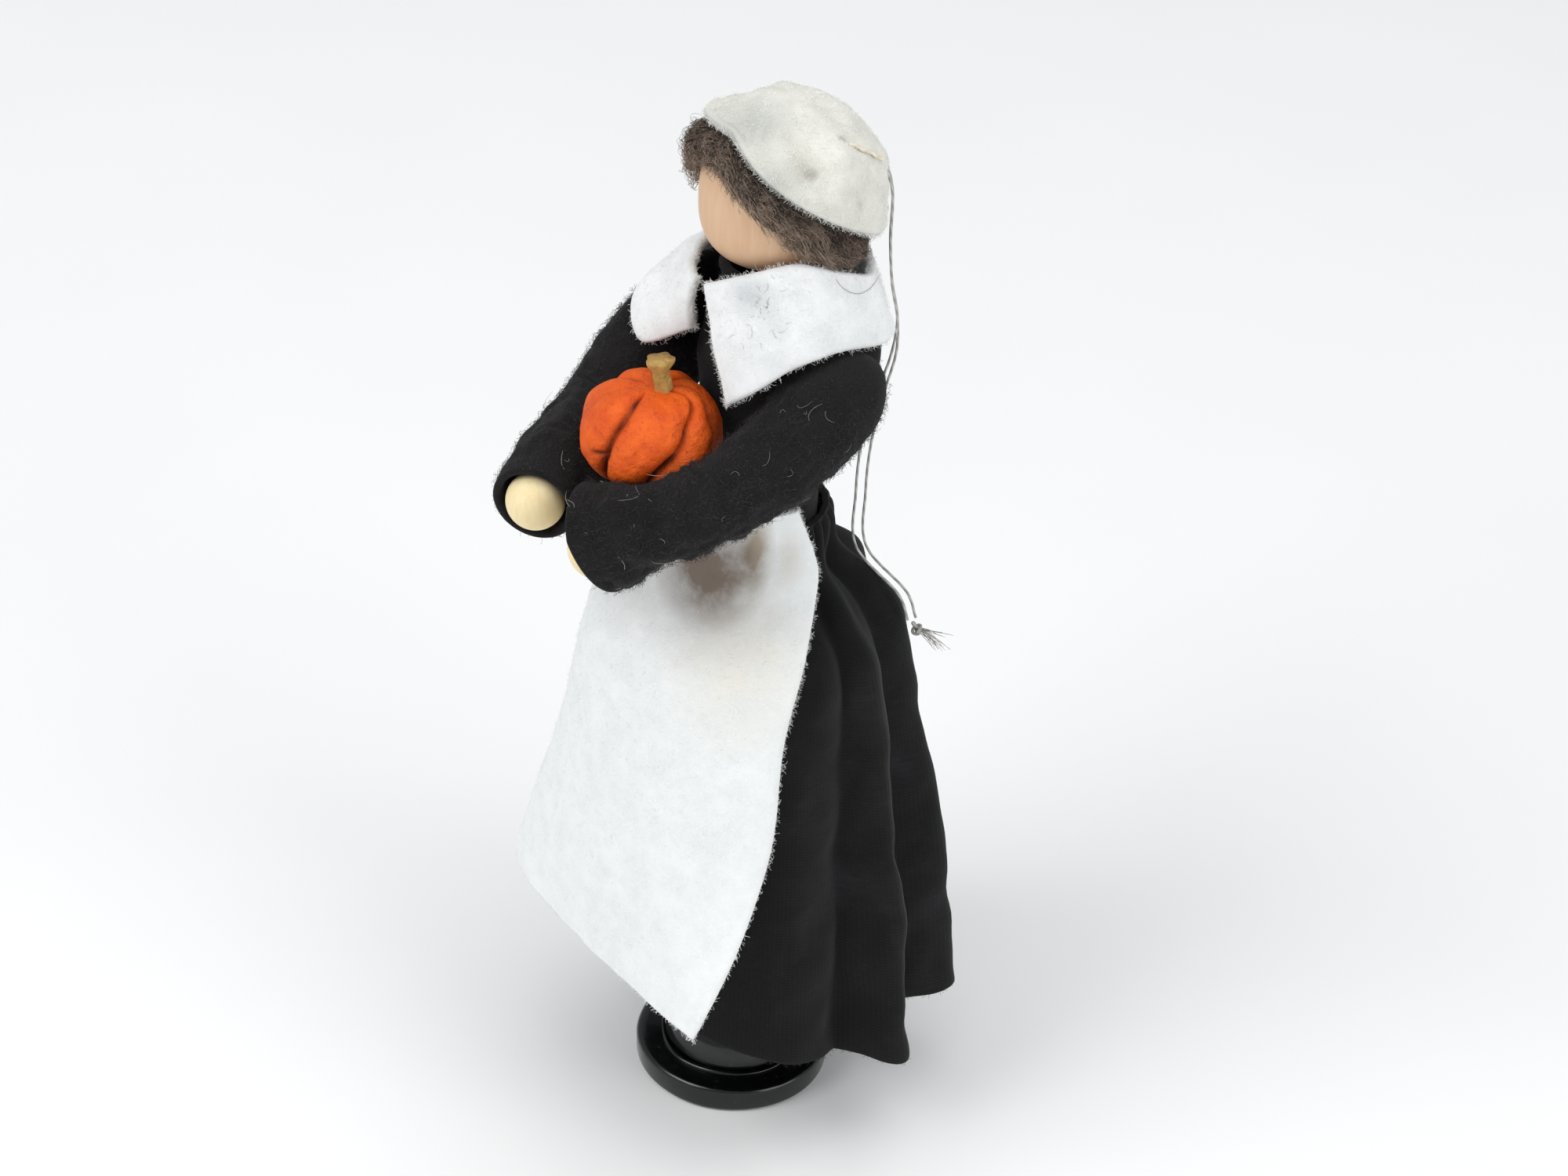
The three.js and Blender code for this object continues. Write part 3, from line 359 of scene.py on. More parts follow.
def hairs(name, paths, radius, seed, painted_light_and_shade=0.0):
    """Thin hairs: a three-sided tube about each path (hair, step, xyz), drawn to a point at both ends.

    The mark shade gives each hair its tone, partly its own and partly that of the tuft round it, and the painted shade
    and light given to the hairs is added to it.
    """
    count, steps = paths.shape[:2]
    along = unit(np.gradient(paths, axis=1))
    side = unit(np.cross(along, (0.31, 0.52, 0.79)))
    other = np.cross(along, side)
    turn = TAU / 3 * np.arange(3)[:, None]
    ring = side[:, :, None] * np.cos(turn) + other[:, :, None] * np.sin(turn)
    thin = radius * np.sin(np.linspace(0.04, 0.96, steps) * math.pi) ** 0.4
    points = paths[:, :, None] + thin[:, None, None] * ring
    index = np.arange(count * steps * 3).reshape(count, steps, 3)
    near, far = index[:, :-1], index[:, 1:]
    sides = np.stack([near, np.roll(near, -1, 2), np.roll(far, -1, 2), far], -1).reshape(-1, 4)
    tips = np.concatenate([index[:, 0, ::-1], index[:, -1]])
    mesh = bpy.data.meshes.new(name)
    mesh.from_pydata((points.reshape(-1, 3) * MM).tolist(), [], sides.tolist() + tips.tolist())
    tuft = 0.5 + 0.5 * wobble(paths[:, steps // 2], 2.2, seed)
    shade = np.clip(mix(tuft, np.random.default_rng(seed).uniform(0, 1, count), 0.6) + painted_light_and_shade, 0, 1)
    mesh.attributes.new("shade", "FLOAT", "POINT").data.foreach_set(
        "value", np.repeat(shade, steps * 3).astype(np.float32))
    made = bpy.data.objects.new(name, mesh)
    bpy.context.scene.collection.objects.link(made)
    return made


def spots(grid, normals, count, rng):
    """Random spots on a grid, evenly spread over its area, with their normals."""
    across, down = grid[:-1, 1:] - grid[:-1, :-1], grid[1:, :-1] - grid[:-1, :-1]
    area = np.linalg.norm(np.cross(across, down), axis=-1)
    row, column = np.unravel_index(rng.choice(area.size, count, p=(area / area.sum()).ravel()), area.shape)
    u, v = rng.uniform(0, 1, (2, count, 1))
    place = (mix(grid[row, column], grid[row, column + 1], u) * (1 - v)
             + mix(grid[row + 1, column], grid[row + 1, column + 1], u) * v)
    return place, normals[row, column]


def fibres(place, out, length, stand, rng, steps=4, curl=0.7):
    """Loose fibres: each leaves its spot at a random lean, stands off by a share, and curls over along its length."""
    lean = unit(np.cross(out, rng.normal(size=place.shape)))
    turn = unit(np.cross(out, lean)) * rng.uniform(-1, 1, (len(place), 1))
    t = np.linspace(0, 1, steps)[:, None]
    reach = length * rng.uniform(0.5, 1.3, (len(place), 1, 1))
    rise_out = stand * rng.uniform(0.3, 1.4, (len(place), 1, 1))
    path = lean[:, None] * (t - 0.4 * curl * t**3) + turn[:, None] * curl * t**2 \
        + out[:, None] * rise_out * (1.6 * t - 0.9 * t**2)
    return place[:, None] - out[:, None] * 0.08 + reach * path


# ---- finishes ----

def linear(colour):
    """An sRGB hex colour as linear red, green, blue and full cover."""
    levels = [int(colour[k:k + 2], 16) / 255 for k in (1, 3, 5)]
    return (*[c / 12.92 if c <= 0.04045 else ((c + 0.055) / 1.055) ** 2.4 for c in levels], 1)


def node(tree, kind, inputs=None, **settings):
    """Adds a node: settings are its own, and each input is a value or another node's output."""
    made = tree.nodes.new(kind)
    for key, value in settings.items():
        setattr(made, key, value)
    for key, value in (inputs or {}).items():
        if isinstance(value, bpy.types.NodeSocket):
            tree.links.new(value, made.inputs[key])
        else:
            made.inputs[key].default_value = value
    return made


def finish(name, shader_values):
    """A new material with its one shader; gives the material, its node tree, the shader and object coordinates."""
    material = bpy.data.materials.new(name)
    material.use_nodes = True
    tree = material.node_tree
    shader = tree.nodes["Principled BSDF"]
    for key, value in shader_values.items():
        shader.inputs[key].default_value = value
    return material, tree, shader, node(tree, "ShaderNodeTexCoord")


def coat(tree, shader, ground, layers, stains_and_shade=(), relief=None):
    """Colours a shader: over the ground each layer is mixed in by its share, then each darker mark, be it stain,
    painted shade or both, darkens it by its share.

    Relief is a height, a strength and a depth in millimetres.
    """
    colour = linear(ground)
    for kind, laid in (("MIX", layers), ("MULTIPLY", stains_and_shade)):
        for share, tint in laid:
            blend = node(
                tree, "ShaderNodeMix", {0: share, 6: colour, 7: linear(tint)}, data_type="RGBA", blend_type=kind)
            colour = blend.outputs[2]
    tree.links.new(colour, shader.inputs["Base Color"])
    if relief:
        height, strength, depth = relief
        bump = node(tree, "ShaderNodeBump", {"Height": height, "Strength": strength, "Distance": depth * MM})
        tree.links.new(bump.outputs[0], shader.inputs["Normal"])


def per_metre(size):
    """Texture scale whose features are about a size in millimetres."""
    return 1 / (size * MM)


def wool_felt(name, pale, deep, nap_colour, stains_and_shade=(), sheen=0.15):
    """Pressed wool felt: matted fibres give faint clouds of tone 3 mm wide and a fine tangle 0.3 mm wide.

    The tangle is coarser than the real 0.05 mm fibre, so that it shows. Rough all over, with a faint sheen.
    Each darker mark, be it stain, painted shade or both, is a place and sizes in millimetres, a colour and a strength:
    a ball of colour with a ragged border.
    """
    material, tree, shader, coords = finish(
        name, {"Roughness": 0.95, "Specular IOR Level": 0.2, "Sheen Weight": sheen, "Sheen Roughness": 0.6})
    clouds = node(tree, "ShaderNodeTexNoise", {
        "Vector": coords.outputs["Object"], "Scale": per_metre(3.2), "Detail": 5, "Roughness": 0.6})
    tangle = node(tree, "ShaderNodeTexNoise", {
        "Vector": coords.outputs["Object"], "Scale": per_metre(0.32), "Detail": 4, "Roughness": 0.7, "Distortion": 2.2})
    tone = node(tree, "ShaderNodeMapRange", {"Value": clouds.outputs["Fac"], "From Min": 0.36, "From Max": 0.64})
    hair = node(tree, "ShaderNodeMapRange", {"Value": tangle.outputs["Fac"], "From Min": 0.5, "From Max": 0.72})
    darker = []
    for place, size, tint, strength in stains_and_shade:
        spot = node(tree, "ShaderNodeMapping", {
            "Vector": coords.outputs["Object"], "Location": [-p / s for p, s in zip(place, size)],
            "Scale": [per_metre(s) for s in size]})
        ball = node(tree, "ShaderNodeTexGradient", {"Vector": spot.outputs[0]}, gradient_type="SPHERICAL")
        ragged = node(tree, "ShaderNodeMath", {
            0: ball.outputs["Fac"], 1: tone.outputs[0], 2: ball.outputs["Fac"]}, operation="MULTIPLY_ADD")
        cover = node(tree, "ShaderNodeMapRange", {
            "Value": ragged.outputs[0], "From Min": 0.0, "From Max": 1.7, "To Max": strength})
        darker.append((cover.outputs[0], tint))
    height = node(tree, "ShaderNodeMath", {
        0: tangle.outputs["Fac"], 1: 0.5, 2: clouds.outputs["Fac"]}, operation="MULTIPLY_ADD")
    coat(tree, shader, deep, [(tone.outputs[0], pale), (hair.outputs[0], nap_colour)], darker,
         (height.outputs[0], 0.4, 0.3))
    return material


def fibre_finish(name, deep, pale):
    """Loose wool fibres: each hair has its own tone between the two colours."""
    material, tree, shader, _ = finish(name, {"Roughness": 0.8, "Specular IOR Level": 0.3, "Sheen Weight": 0.2})
    shade = node(tree, "ShaderNodeAttribute", attribute_name="shade")
    coat(tree, shader, deep, [(shade.outputs["Fac"], pale)])
    return material


def cotton_weave():
    """Plain-woven black cotton: two crossing sets of threads 0.36 mm apart, with a painted highlight that makes their
    crowns barely lighter, and worn greyer in patches 14 mm wide and in short slubs along the threads."""
    material, tree, shader, coords = finish("black_cotton_weave", {
        "Roughness": 0.9, "Specular IOR Level": 0.2, "Sheen Weight": 0.06, "Sheen Roughness": 0.5})
    spacing = 0.36
    warp, weft = (
        node(tree, "ShaderNodeTexWave", {
            "Vector": coords.outputs["UV"], "Scale": TAU / 20 / spacing, "Distortion": 0.8, "Detail Scale": 3.0},
            bands_direction=way)
        for way in ("X", "Y"))
    crossed = node(tree, "ShaderNodeMath", {0: warp.outputs["Fac"], 1: weft.outputs["Fac"]}, operation="MULTIPLY")
    rubbed = node(tree, "ShaderNodeTexNoise", {
        "Vector": coords.outputs["Object"], "Scale": per_metre(14), "Detail": 6, "Roughness": 0.65})
    patch = node(tree, "ShaderNodeMapRange", {"Value": rubbed.outputs["Fac"], "From Min": 0.45, "From Max": 0.75})
    stretched = node(tree, "ShaderNodeMapping", {"Vector": coords.outputs["UV"], "Scale": (0.25, 2.2, 1)})
    slubs = node(tree, "ShaderNodeTexNoise", {
        "Vector": stretched.outputs[0], "Scale": 1.2, "Detail": 3, "Roughness": 0.6})
    worn = node(tree, "ShaderNodeMath", {0: patch.outputs[0], 1: slubs.outputs["Fac"]}, operation="MULTIPLY")
    # painted highlight: the crowns of the threads are #131313 over the cloth's #0c0c0c
    coat(tree, shader, "#0c0c0c", [(crossed.outputs[0], "#131313"), (worn.outputs[0], "#2c2c2f")],
         relief=(crossed.outputs[0], 0.3, 0.1))
    return material


def turned_wood(name, pale, deep, tint):
    """Turned, unpainted hardwood, waxed by handling, so satin: faint grain 0.9 mm wide and eight times as long runs up
    it, over clouds of tone 6 mm wide."""
    material, tree, shader, coords = finish(name, {"Roughness": 0.5, "IOR": 1.5, "Specular IOR Level": 0.4})
    long_way = node(tree, "ShaderNodeMapping", {"Vector": coords.outputs["Object"], "Scale": (1, 1, 0.12)})
    grain = node(tree, "ShaderNodeTexNoise", {
        "Vector": long_way.outputs[0], "Scale": per_metre(0.9), "Detail": 5, "Roughness": 0.6, "Distortion": 0.4})
    tone = node(tree, "ShaderNodeTexNoise", {"Vector": coords.outputs["Object"], "Scale": per_metre(6), "Detail": 2})
    lines = node(tree, "ShaderNodeMapRange", {"Value": grain.outputs["Fac"], "From Min": 0.4, "From Max": 0.7})
    coat(tree, shader, pale, [(tone.outputs["Fac"], tint), (lines.outputs[0], deep)],
         relief=(grain.outputs["Fac"], 0.15, 0.1))
    return material


def baked_clay(name, pale, deep, speck, groove):
    """Baked craft clay, kneaded by hand: satin, with clouds of tone 2.4 mm wide, pits and darker specks 0.5 mm wide,
    and painted shade, in the colour groove, where the mark groove lies: in its grooves and its crack."""
    material, tree, shader, coords = finish(name, {"Roughness": 0.6, "IOR": 1.5, "Specular IOR Level": 0.35})
    kneaded = node(tree, "ShaderNodeTexNoise", {
        "Vector": coords.outputs["Object"], "Scale": per_metre(2.4), "Detail": 5, "Roughness": 0.6})
    pits = node(tree, "ShaderNodeTexNoise", {
        "Vector": coords.outputs["Object"], "Scale": per_metre(0.5), "Detail": 3, "Roughness": 0.7})
    tone = node(tree, "ShaderNodeMapRange", {"Value": kneaded.outputs["Fac"], "From Min": 0.35, "From Max": 0.65})
    dots = node(tree, "ShaderNodeMapRange", {
        "Value": pits.outputs["Fac"], "From Min": 0.58, "From Max": 0.72, "To Max": 0.7})
    # painted shade in the grooves and the crack, carried by the mark groove
    groove_shade_mark = node(tree, "ShaderNodeAttribute", attribute_name="groove")
    height = node(tree, "ShaderNodeMath", {0: pits.outputs["Fac"], 1: kneaded.outputs["Fac"]}, operation="SUBTRACT")
    coat(tree, shader, deep, [(tone.outputs[0], pale), (dots.outputs[0], speck), (groove_shade_mark.outputs["Fac"], groove)],
         relief=(height.outputs[0], 0.6, 0.4))
    return material


def gloss_paint():
    """Gloss black enamel brushed on wood: mirror-like, with waves 4 mm wide from the brush and specks of dust 0.6 mm
    wide."""
    material, tree, shader, coords = finish(
        "gloss_black_enamel", {"IOR": 1.5, "Specular IOR Level": 0.4, "Coat Weight": 0.3, "Coat Roughness": 0.1})
    brushed = node(tree, "ShaderNodeTexNoise", {
        "Vector": coords.outputs["Object"], "Scale": per_metre(4), "Detail": 3, "Roughness": 0.5})
    dust = node(tree, "ShaderNodeTexNoise", {
        "Vector": coords.outputs["Object"], "Scale": per_metre(0.6), "Detail": 2, "Roughness": 0.5})
    specks = node(tree, "ShaderNodeMapRange", {
        "Value": dust.outputs["Fac"], "From Min": 0.66, "From Max": 0.78, "To Max": 0.35})
    rough = node(tree, "ShaderNodeMapRange", {
        "Value": brushed.outputs["Fac"], "From Min": 0.3, "From Max": 0.7, "To Min": 0.14, "To Max": 0.3})
    tree.links.new(rough.outputs[0], shader.inputs["Roughness"])
    coat(tree, shader, "#070808", [(specks.outputs[0], "#4a4846")], relief=(brushed.outputs["Fac"], 0.25, 0.2))
    return material


def spun_thread(name, pale, deep):
    """Spun sewing thread: plies twist round it, one turn in 0.8 mm, with a painted highlight on their crowns."""
    material, tree, shader, coords = finish(name, {"Roughness": 0.75, "Specular IOR Level": 0.35})
    twist = node(tree, "ShaderNodeTexWave", {
        "Vector": coords.outputs["UV"], "Scale": TAU / 20 / 0.8, "Distortion": 0.8}, bands_direction="DIAGONAL")
    coat(tree, shader, deep, [(twist.outputs["Fac"], pale)], relief=(twist.outputs["Fac"], 0.5, 0.08))
    return material


# Darker marks on the cap: painted shade in the dent on the doll's left and a grey halo of painted shade round it,
# painted shade in a stitch hole by the seam, a speck, and two broad patches of painted shade on the top and the left
# front, partly grey staining.
CAP_FELT = wool_felt("white_felt_of_cap", "#e0dfd6", "#cfcec4", "#e9e8e0", [
    ((8.8, -1.9, 123.5), (0.9, 1.0, 0.9), "#5f574c", 0.7),
    ((8.4, -2.2, 124.2), (2.6, 2.2, 2.4), "#b5ada1", 0.5),
    ((6.8, 3.1, 125.2), (0.8, 0.8, 0.8), "#857a6c", 0.6),
    ((10.7, 3.0, 119.5), (0.6, 0.7, 0.8), "#a3998a", 0.5),
    ((0.5, -4.5, 126.2), (7.0, 6.0, 4.0), "#c9cccd", 0.9),
    ((7.5, -6.0, 122.5), (4.5, 5.0, 4.0), "#cfd2d2", 0.9),
])
COLLAR_FELT = wool_felt("white_felt_of_collar", "#eff0f0", "#e2e4e4", "#f7f8f8", [
    ((6.7, -6.9, 109.6), (3.8, 2.8, 2.8), "#aeb2b7", 0.65),
    ((8.8, -5.4, 107.0), (2.4, 2.4, 2.4), "#bcc0c4", 0.5),
])
# Darker marks on the apron: the first three are partly painted shadow of the doll's left sleeve, tinted brown, and
# partly a brownish stain; the fourth is faint warm painted shade below them; the last is a dark speck.
APRON_FELT = wool_felt("white_felt_of_apron", "#eef0f0", "#e5e8e7", "#f6f8f8", [
    ((4.3, -9.5, 75.2), (7.6, 6.4, 7.2), "#9a8a7e", 1.5),
    ((7.8, -5.8, 77.2), (1.9, 2.5, 8.0), "#b5a797", 1.3),
    ((9.4, -2.5, 76.6), (1.8, 2.4, 5.0), "#cfc2b2", 0.5),
    ((11.0, -9.0, 66.0), (9.0, 9.0, 12.0), "#f3ecdf", 0.9),
    ((18.0, -13.5, 42.9), (0.35, 0.35, 0.35), "#2a2420", 1.0),
])
BLACK_FELT = wool_felt("black_felt", "#181617", "#0f0e0f", "#272526", sheen=0.04)
WHITE_NAP = fibre_finish("loose_white_wool", "#dcdcd7", "#fbfbf9")
BLACK_NAP = fibre_finish("loose_black_wool", "#0e0d0e", "#302d2f")
LINT = fibre_finish("pale_lint", "#6f6c69", "#bdb9b4")
BROWN_WOOL = fibre_finish("brown_wool_curls", "#271f19", "#9d8876")
HAIR_BED = wool_felt("matted_brown_wool", "#3b312a", "#261f1b", "#55473d", sheen=0.05)
COTTON_CLOTH = cotton_weave()
HEAD_WOOD = turned_wood("head_of_turned_beech", "#d8b797", "#d0aa87", "#d4ad8b")
BEAD_WOOD = turned_wood("bead_of_turned_birch", "#f2e1b5", "#e8d19e", "#eedbac")
ORANGE_CLAY = baked_clay("orange_baked_clay", "#e8620f", "#d54e08", "#93330a", "#5c1c06")
TAN_CLAY = baked_clay("tan_baked_clay", "#bf9a58", "#a5803f", "#7c5d2a", "#6a4f26")
GLOSS_BLACK = gloss_paint()
GREY_THREAD = spun_thread("grey_sewing_thread", "#c2c0bb", "#9b9995")
CREAM_THREAD = spun_thread("cream_sewing_thread", "#efe8d6", "#d5ccb6")
WIRE_NAP = wool_felt("black_nap_on_wire", "#201e1f", "#121112", "#343132", sheen=0.04)


def dress(made, material, slot, body, *nodes):
    """Gives a piece its finish and its body, and puts it in the place of its solids."""
    made.data.materials.append(material)
    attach(made, body)
    if nodes:
        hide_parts(*nodes)
    return made


# ---- hanging loop: two strands and their knot ----

def thread(name, path, radius):
    """A thread along a path, closed at its ends, with its length and its girth in millimetres as uv."""
    sides = 7
    rows = capped(tube(path, radius, sides))
    along = np.linspace(0, np.linalg.norm(np.diff(path, axis=0), axis=1).sum(), len(rows))[:, None]
    girth = np.linspace(0, 1.6, sides + 1)[None]
    return piece(name, [rows], True, np.stack(np.broadcast_arrays(along, girth), -1))


def trefoil(middle, size, count):
    """An overhand knot: the closed three-lobed knot curve, about a middle."""
    t = np.linspace(0, TAU, count)
    curve = np.stack([np.sin(t) + 2 * np.sin(2 * t), np.sin(3 * t) * -1.1, np.cos(t) - 2 * np.cos(2 * t)], 1)
    return np.array(middle) + curve * size / 3


def frayed_tail():
    """The threads of the knot's cut ends: each leaves the knot in a direction of its own and bends over as it falls."""
    rng = np.random.default_rng(31)
    start = np.array(KNOT_MIDDLE) + rng.normal(0, 0.12, (TAIL_THREADS, 3))
    ahead = unit(np.array(TAIL_WAY) + rng.normal(0, 0.55, (TAIL_THREADS, 3)))
    t = np.linspace(0, 1, 8)[:, None]
    straight = start[:, None] + ahead[:, None] * t * rng.uniform(1.6, 3.6, (TAIL_THREADS, 1, 1))
    return straight + np.array((0, 0, -0.9)) * t**2 + rng.normal(0, 0.5, (TAIL_THREADS, 1, 3)) * t**2


knot = dress(
    thread("hang_knot_tied", trefoil(KNOT_MIDDLE, KNOT_SIZE, 90), KNOT_THREAD_RADIUS), GREY_THREAD, "grey_thread",
    "figure", "hang_knot")
strand_paths = {side: route(points, 120) for side, points in STRANDS.items()}
strands = {
    side: dress(thread(f"hang_strand_{side}_spun", path, THREAD_RADIUS), GREY_THREAD, "grey_thread", "figure",
                f"hang_strand_{side}")
    for side, path in strand_paths.items()}
knot_tail = dress(hairs("hang_knot_tail", frayed_tail(), TAIL_RADIUS, 5), LINT, "grey_thread", "figure")


# ---- wood: base, peg, head and bead hands ----

base_profile = [(0, 0), (BASE_RADIUS - BASE_LOW_ROUND, 0)]
base_profile += [
    (BASE_RADIUS - BASE_LOW_ROUND + BASE_LOW_ROUND * math.sin(a), BASE_LOW_ROUND - BASE_LOW_ROUND * math.cos(a))
    for a in np.linspace(0.2, 1.57, 6)]
base_profile += [
    (BASE_RADIUS - BASE_TOP_ROUND + BASE_TOP_ROUND * math.cos(a),
     BASE_HEIGHT - BASE_TOP_ROUND + BASE_TOP_ROUND * math.sin(a))
    for a in np.linspace(0, 1.57, 7)]
base_profile += [(BASE_RADIUS * k / 8, BASE_HEIGHT) for k in range(7, -1, -1)]
base_grid = lathe(base_profile, 160)
base_grid = base_grid * (1 + 0.004 * wobble(base_grid, 9, 3))[..., None] ** np.array([1, 1, 0])
dress(piece("base_disc_painted", [base_grid], True), GLOSS_BLACK, "black_gloss", "figure", "base_disc")

foot_low = BASE_HEIGHT + 0.02
peg_profile = [(0, foot_low), (FOOT_RADIUS - 0.4, foot_low), (FOOT_RADIUS, foot_low + FOOT_ROUND)]
peg_profile += [(FOOT_RADIUS - 0.12 * k, foot_low + FOOT_ROUND + (FOOT_HEIGHT - 0.8) * k / 3) for k in (1, 2, 3)]
peg_profile += [
    (mix(FOOT_RADIUS - 0.5, PEG_RADIUS, (1 - math.cos(a)) ** 0.8),
     foot_low + FOOT_HEIGHT - 0.3 + FOOT_TAPER * math.sin(a))
    for a in np.linspace(0.1, 1.57, 9)]
peg_profile += [(PEG_RADIUS, z) for z in np.linspace(PEG_STRAIGHT_START, PEG_TOP - NECK_DROP, 12)]
peg_profile += [
    (mix(PEG_RADIUS, NECK_RADIUS, (1 - math.cos(a))), PEG_TOP - NECK_DROP + NECK_DROP * math.sin(a))
    for a in np.linspace(0.2, 1.57, 6)]
peg_profile += [(NECK_RADIUS, PEG_TOP + 2), (NECK_RADIUS, HEAD_BOTTOM - 0.1), (0, HEAD_BOTTOM - 0.1)]
dress(piece("body_peg_painted", [lathe(peg_profile, 96)], True), GLOSS_BLACK, "black_gloss", "figure", "body_peg")

# a bead of glue runs round the foot, thicker and thinner
glue_turn = np.linspace(0, TAU, 96, endpoint=False)
glue_path = polar(glue_turn, FOOT_RADIUS + 0.28 + 0.1 * np.sin(5 * glue_turn + 1), BASE_HEIGHT + 0.12)
glue_ring = np.linspace(0, TAU, 9, endpoint=False)
glue_fat = 0.3 + 0.1 * np.sin(3 * glue_turn) + 0.05 * np.sin(7 * glue_turn + 2)
glue_grid = glue_path[:, None] + glue_fat[:, None, None] * (
    np.cos(glue_ring)[None, :, None] * polar(glue_turn, 1, 0)[:, None]
    + np.sin(glue_ring)[None, :, None] * np.array([0, 0, 1]))
dress(piece("foot_glue_bead", [np.concatenate([glue_grid, glue_grid[:1]])], True), GLOSS_BLACK, "black_gloss", "figure")


def head_shape(lift, growth):
    """Radius and height on the head's barrel: quarter superellipses above and below its middle, grown all round."""
    power = np.where(lift < 0, CHIN_POWER, CROWN_POWER)
    ring = np.clip(np.cos(lift), 0, 1) ** (2 / power)
    climb = np.sign(lift) * np.abs(np.sin(lift)) ** (2 / power)
    return (HEAD_RADIUS + growth) * ring, HEAD_MIDDLE + (HEAD_HALF + growth) * climb


def head_lift(z, growth):
    """The lift at which the grown head reaches a height: the head shape turned round."""
    share = np.clip((z - HEAD_MIDDLE) / (HEAD_HALF + growth), -1, 1)
    return np.sign(share) * np.arcsin(np.abs(share) ** (np.where(share < 0, CHIN_POWER, CROWN_POWER) / 2))


head_lifts = np.linspace(-math.pi / 2, math.pi / 2, 73)
head_profile = np.stack(head_shape(head_lifts, 0.0), 1)
dress(piece("head_ball_turned", [lathe(head_profile, 120)], True), HEAD_WOOD, "bare_wood", "figure", "head_ball")


def arm_route(side, points):
    """The middle of an arm: from the shoulder joint through its bends, mirrored for the right."""
    path = [(SHOULDER_X, 0, SHOULDER_Z)] + [(BESIDE_X + x, FRONT_Y + y, UNDER_Z + z) for x, y, z in points]
    return route(np.array(path) * (side, 1, 1), 90)


def bead(name, path):
    """A bead hand in its cuff: a ball turned about the arm's end, with its drilled hole and a flat round it."""
    along, across, other = carried(path)
    lift = np.linspace(-math.pi / 2 + 0.3, math.pi / 2 - 0.12, 40)
    radius = np.r_[0.0, HAND_HOLE, HAND_HOLE + 0.2, HAND_RADIUS * np.cos(lift), 0.0]
    height = np.r_[
        -HAND_HOLE_DEPTH, -HAND_HOLE_DEPTH, -HAND_RADIUS * 0.955, HAND_RADIUS * np.sin(lift), HAND_RADIUS * 0.994]
    turn = np.linspace(0, TAU, 64, endpoint=False)[:, None]
    ring = across[-1] * np.cos(turn) + other[-1] * np.sin(turn)
    middle = path[-1] - along[-1] * HAND_SETBACK
    return piece(name, [middle + radius[:, None, None] * ring + height[:, None, None] * along[-1]], True)


arm_paths = {side: arm_route(sign, ARM_BENDS[side]) for side, sign in OUTWARD.items()}
for side, path in arm_paths.items():
    dress(bead(f"{side}_hand_bead", path), BEAD_WOOD, "bare_wood", f"{side}_arm", f"{side}_hand")


# ---- pumpkin ----

pumpkin_turn = np.linspace(0, TAU, 420, endpoint=False)[None]
pumpkin_lift = np.linspace(-math.pi / 2, math.pi / 2, 130)[:, None]
# the lobes lean round as they climb, most on the doll's left, where one spreads on top, and no two are quite as wide
lobe_lean = 0.25 + 0.6 * bell(pumpkin_turn, math.radians(80), math.radians(38))
lobe_spread = 0.9 * bell(pumpkin_turn, math.radians(125), math.radians(50)) * rise(pumpkin_lift, 0.5, 1.1)
lobe_turn = pumpkin_turn + math.radians(9) - lobe_lean * pumpkin_lift * np.cos(pumpkin_lift) - lobe_spread \
    + 0.08 * np.sin(2 * pumpkin_turn + 1)
lobe = np.abs(np.cos(PUMPKIN_LOBES * lobe_turn / 2))
# the groove on the side of the doll's right hand was smoothed over
groove_left = 1 - 0.85 * bell(lobe_turn, TAU - math.pi / PUMPKIN_LOBES, 0.3)
crease = bell(lobe, 0, 0.23) * np.cos(pumpkin_lift) ** 0.3 * groove_left
pumpkin_reach = (PUMPKIN_RADIUS - PUMPKIN_GROOVE * (1 - lobe**0.8) * groove_left - 0.4 * crease) * np.cos(pumpkin_lift)
dimple = PUMPKIN_DIMPLE * np.sign(pumpkin_lift) * np.sin(pumpkin_lift) ** 8
# on top the lobes bulge up between grooves that run in to the stem
crown_groove = bell(lobe, 0, 0.42) * groove_left * rise(pumpkin_lift, 0.25, 1.0)
pumpkin_height = PUMPKIN_HALF * np.sin(pumpkin_lift) - dimple
pumpkin_height = pumpkin_height - 0.6 * crown_groove * rise(np.cos(pumpkin_lift), 0.1, 0.35)
pumpkin_grid = polar(pumpkin_turn, pumpkin_reach, pumpkin_height)
kneaded = 0.016 * wobble(pumpkin_grid, 6, 11) + 0.006 * wobble(pumpkin_grid, 2, 13)
pumpkin_grid *= (1 + kneaded * np.cos(pumpkin_lift))[..., None]
# one level crack runs from a groove into the lobe beside the doll's right hand
crack = bell(pumpkin_grid[..., 2], CRACK_PLACE[2], CRACK_WIDTH) \
    * np.exp(-(np.linalg.norm(pumpkin_grid - np.array(CRACK_PLACE), axis=-1) / CRACK_LENGTH) ** 4)
pumpkin_grid *= (1 - 0.06 * crack)[..., None]
# painted shade: the clay darker along the grooves, unevenly, fading out at the top and bottom
groove_shade = np.clip(crease * (0.85 + 0.3 * wobble(pumpkin_grid, 4, 12)), 0, 1) * rise(np.cos(pumpkin_lift), 0.1, 0.4)
pumpkin_grid += PUMPKIN_MIDDLE
# the mark groove paints shade in the grooves and in the crack
dress(piece("pumpkin_body_shaped", [pumpkin_grid], True, marks={"groove": [np.maximum(groove_shade, crack)]}),
      ORANGE_CLAY, "orange_clay", "figure", "pumpkin_body")

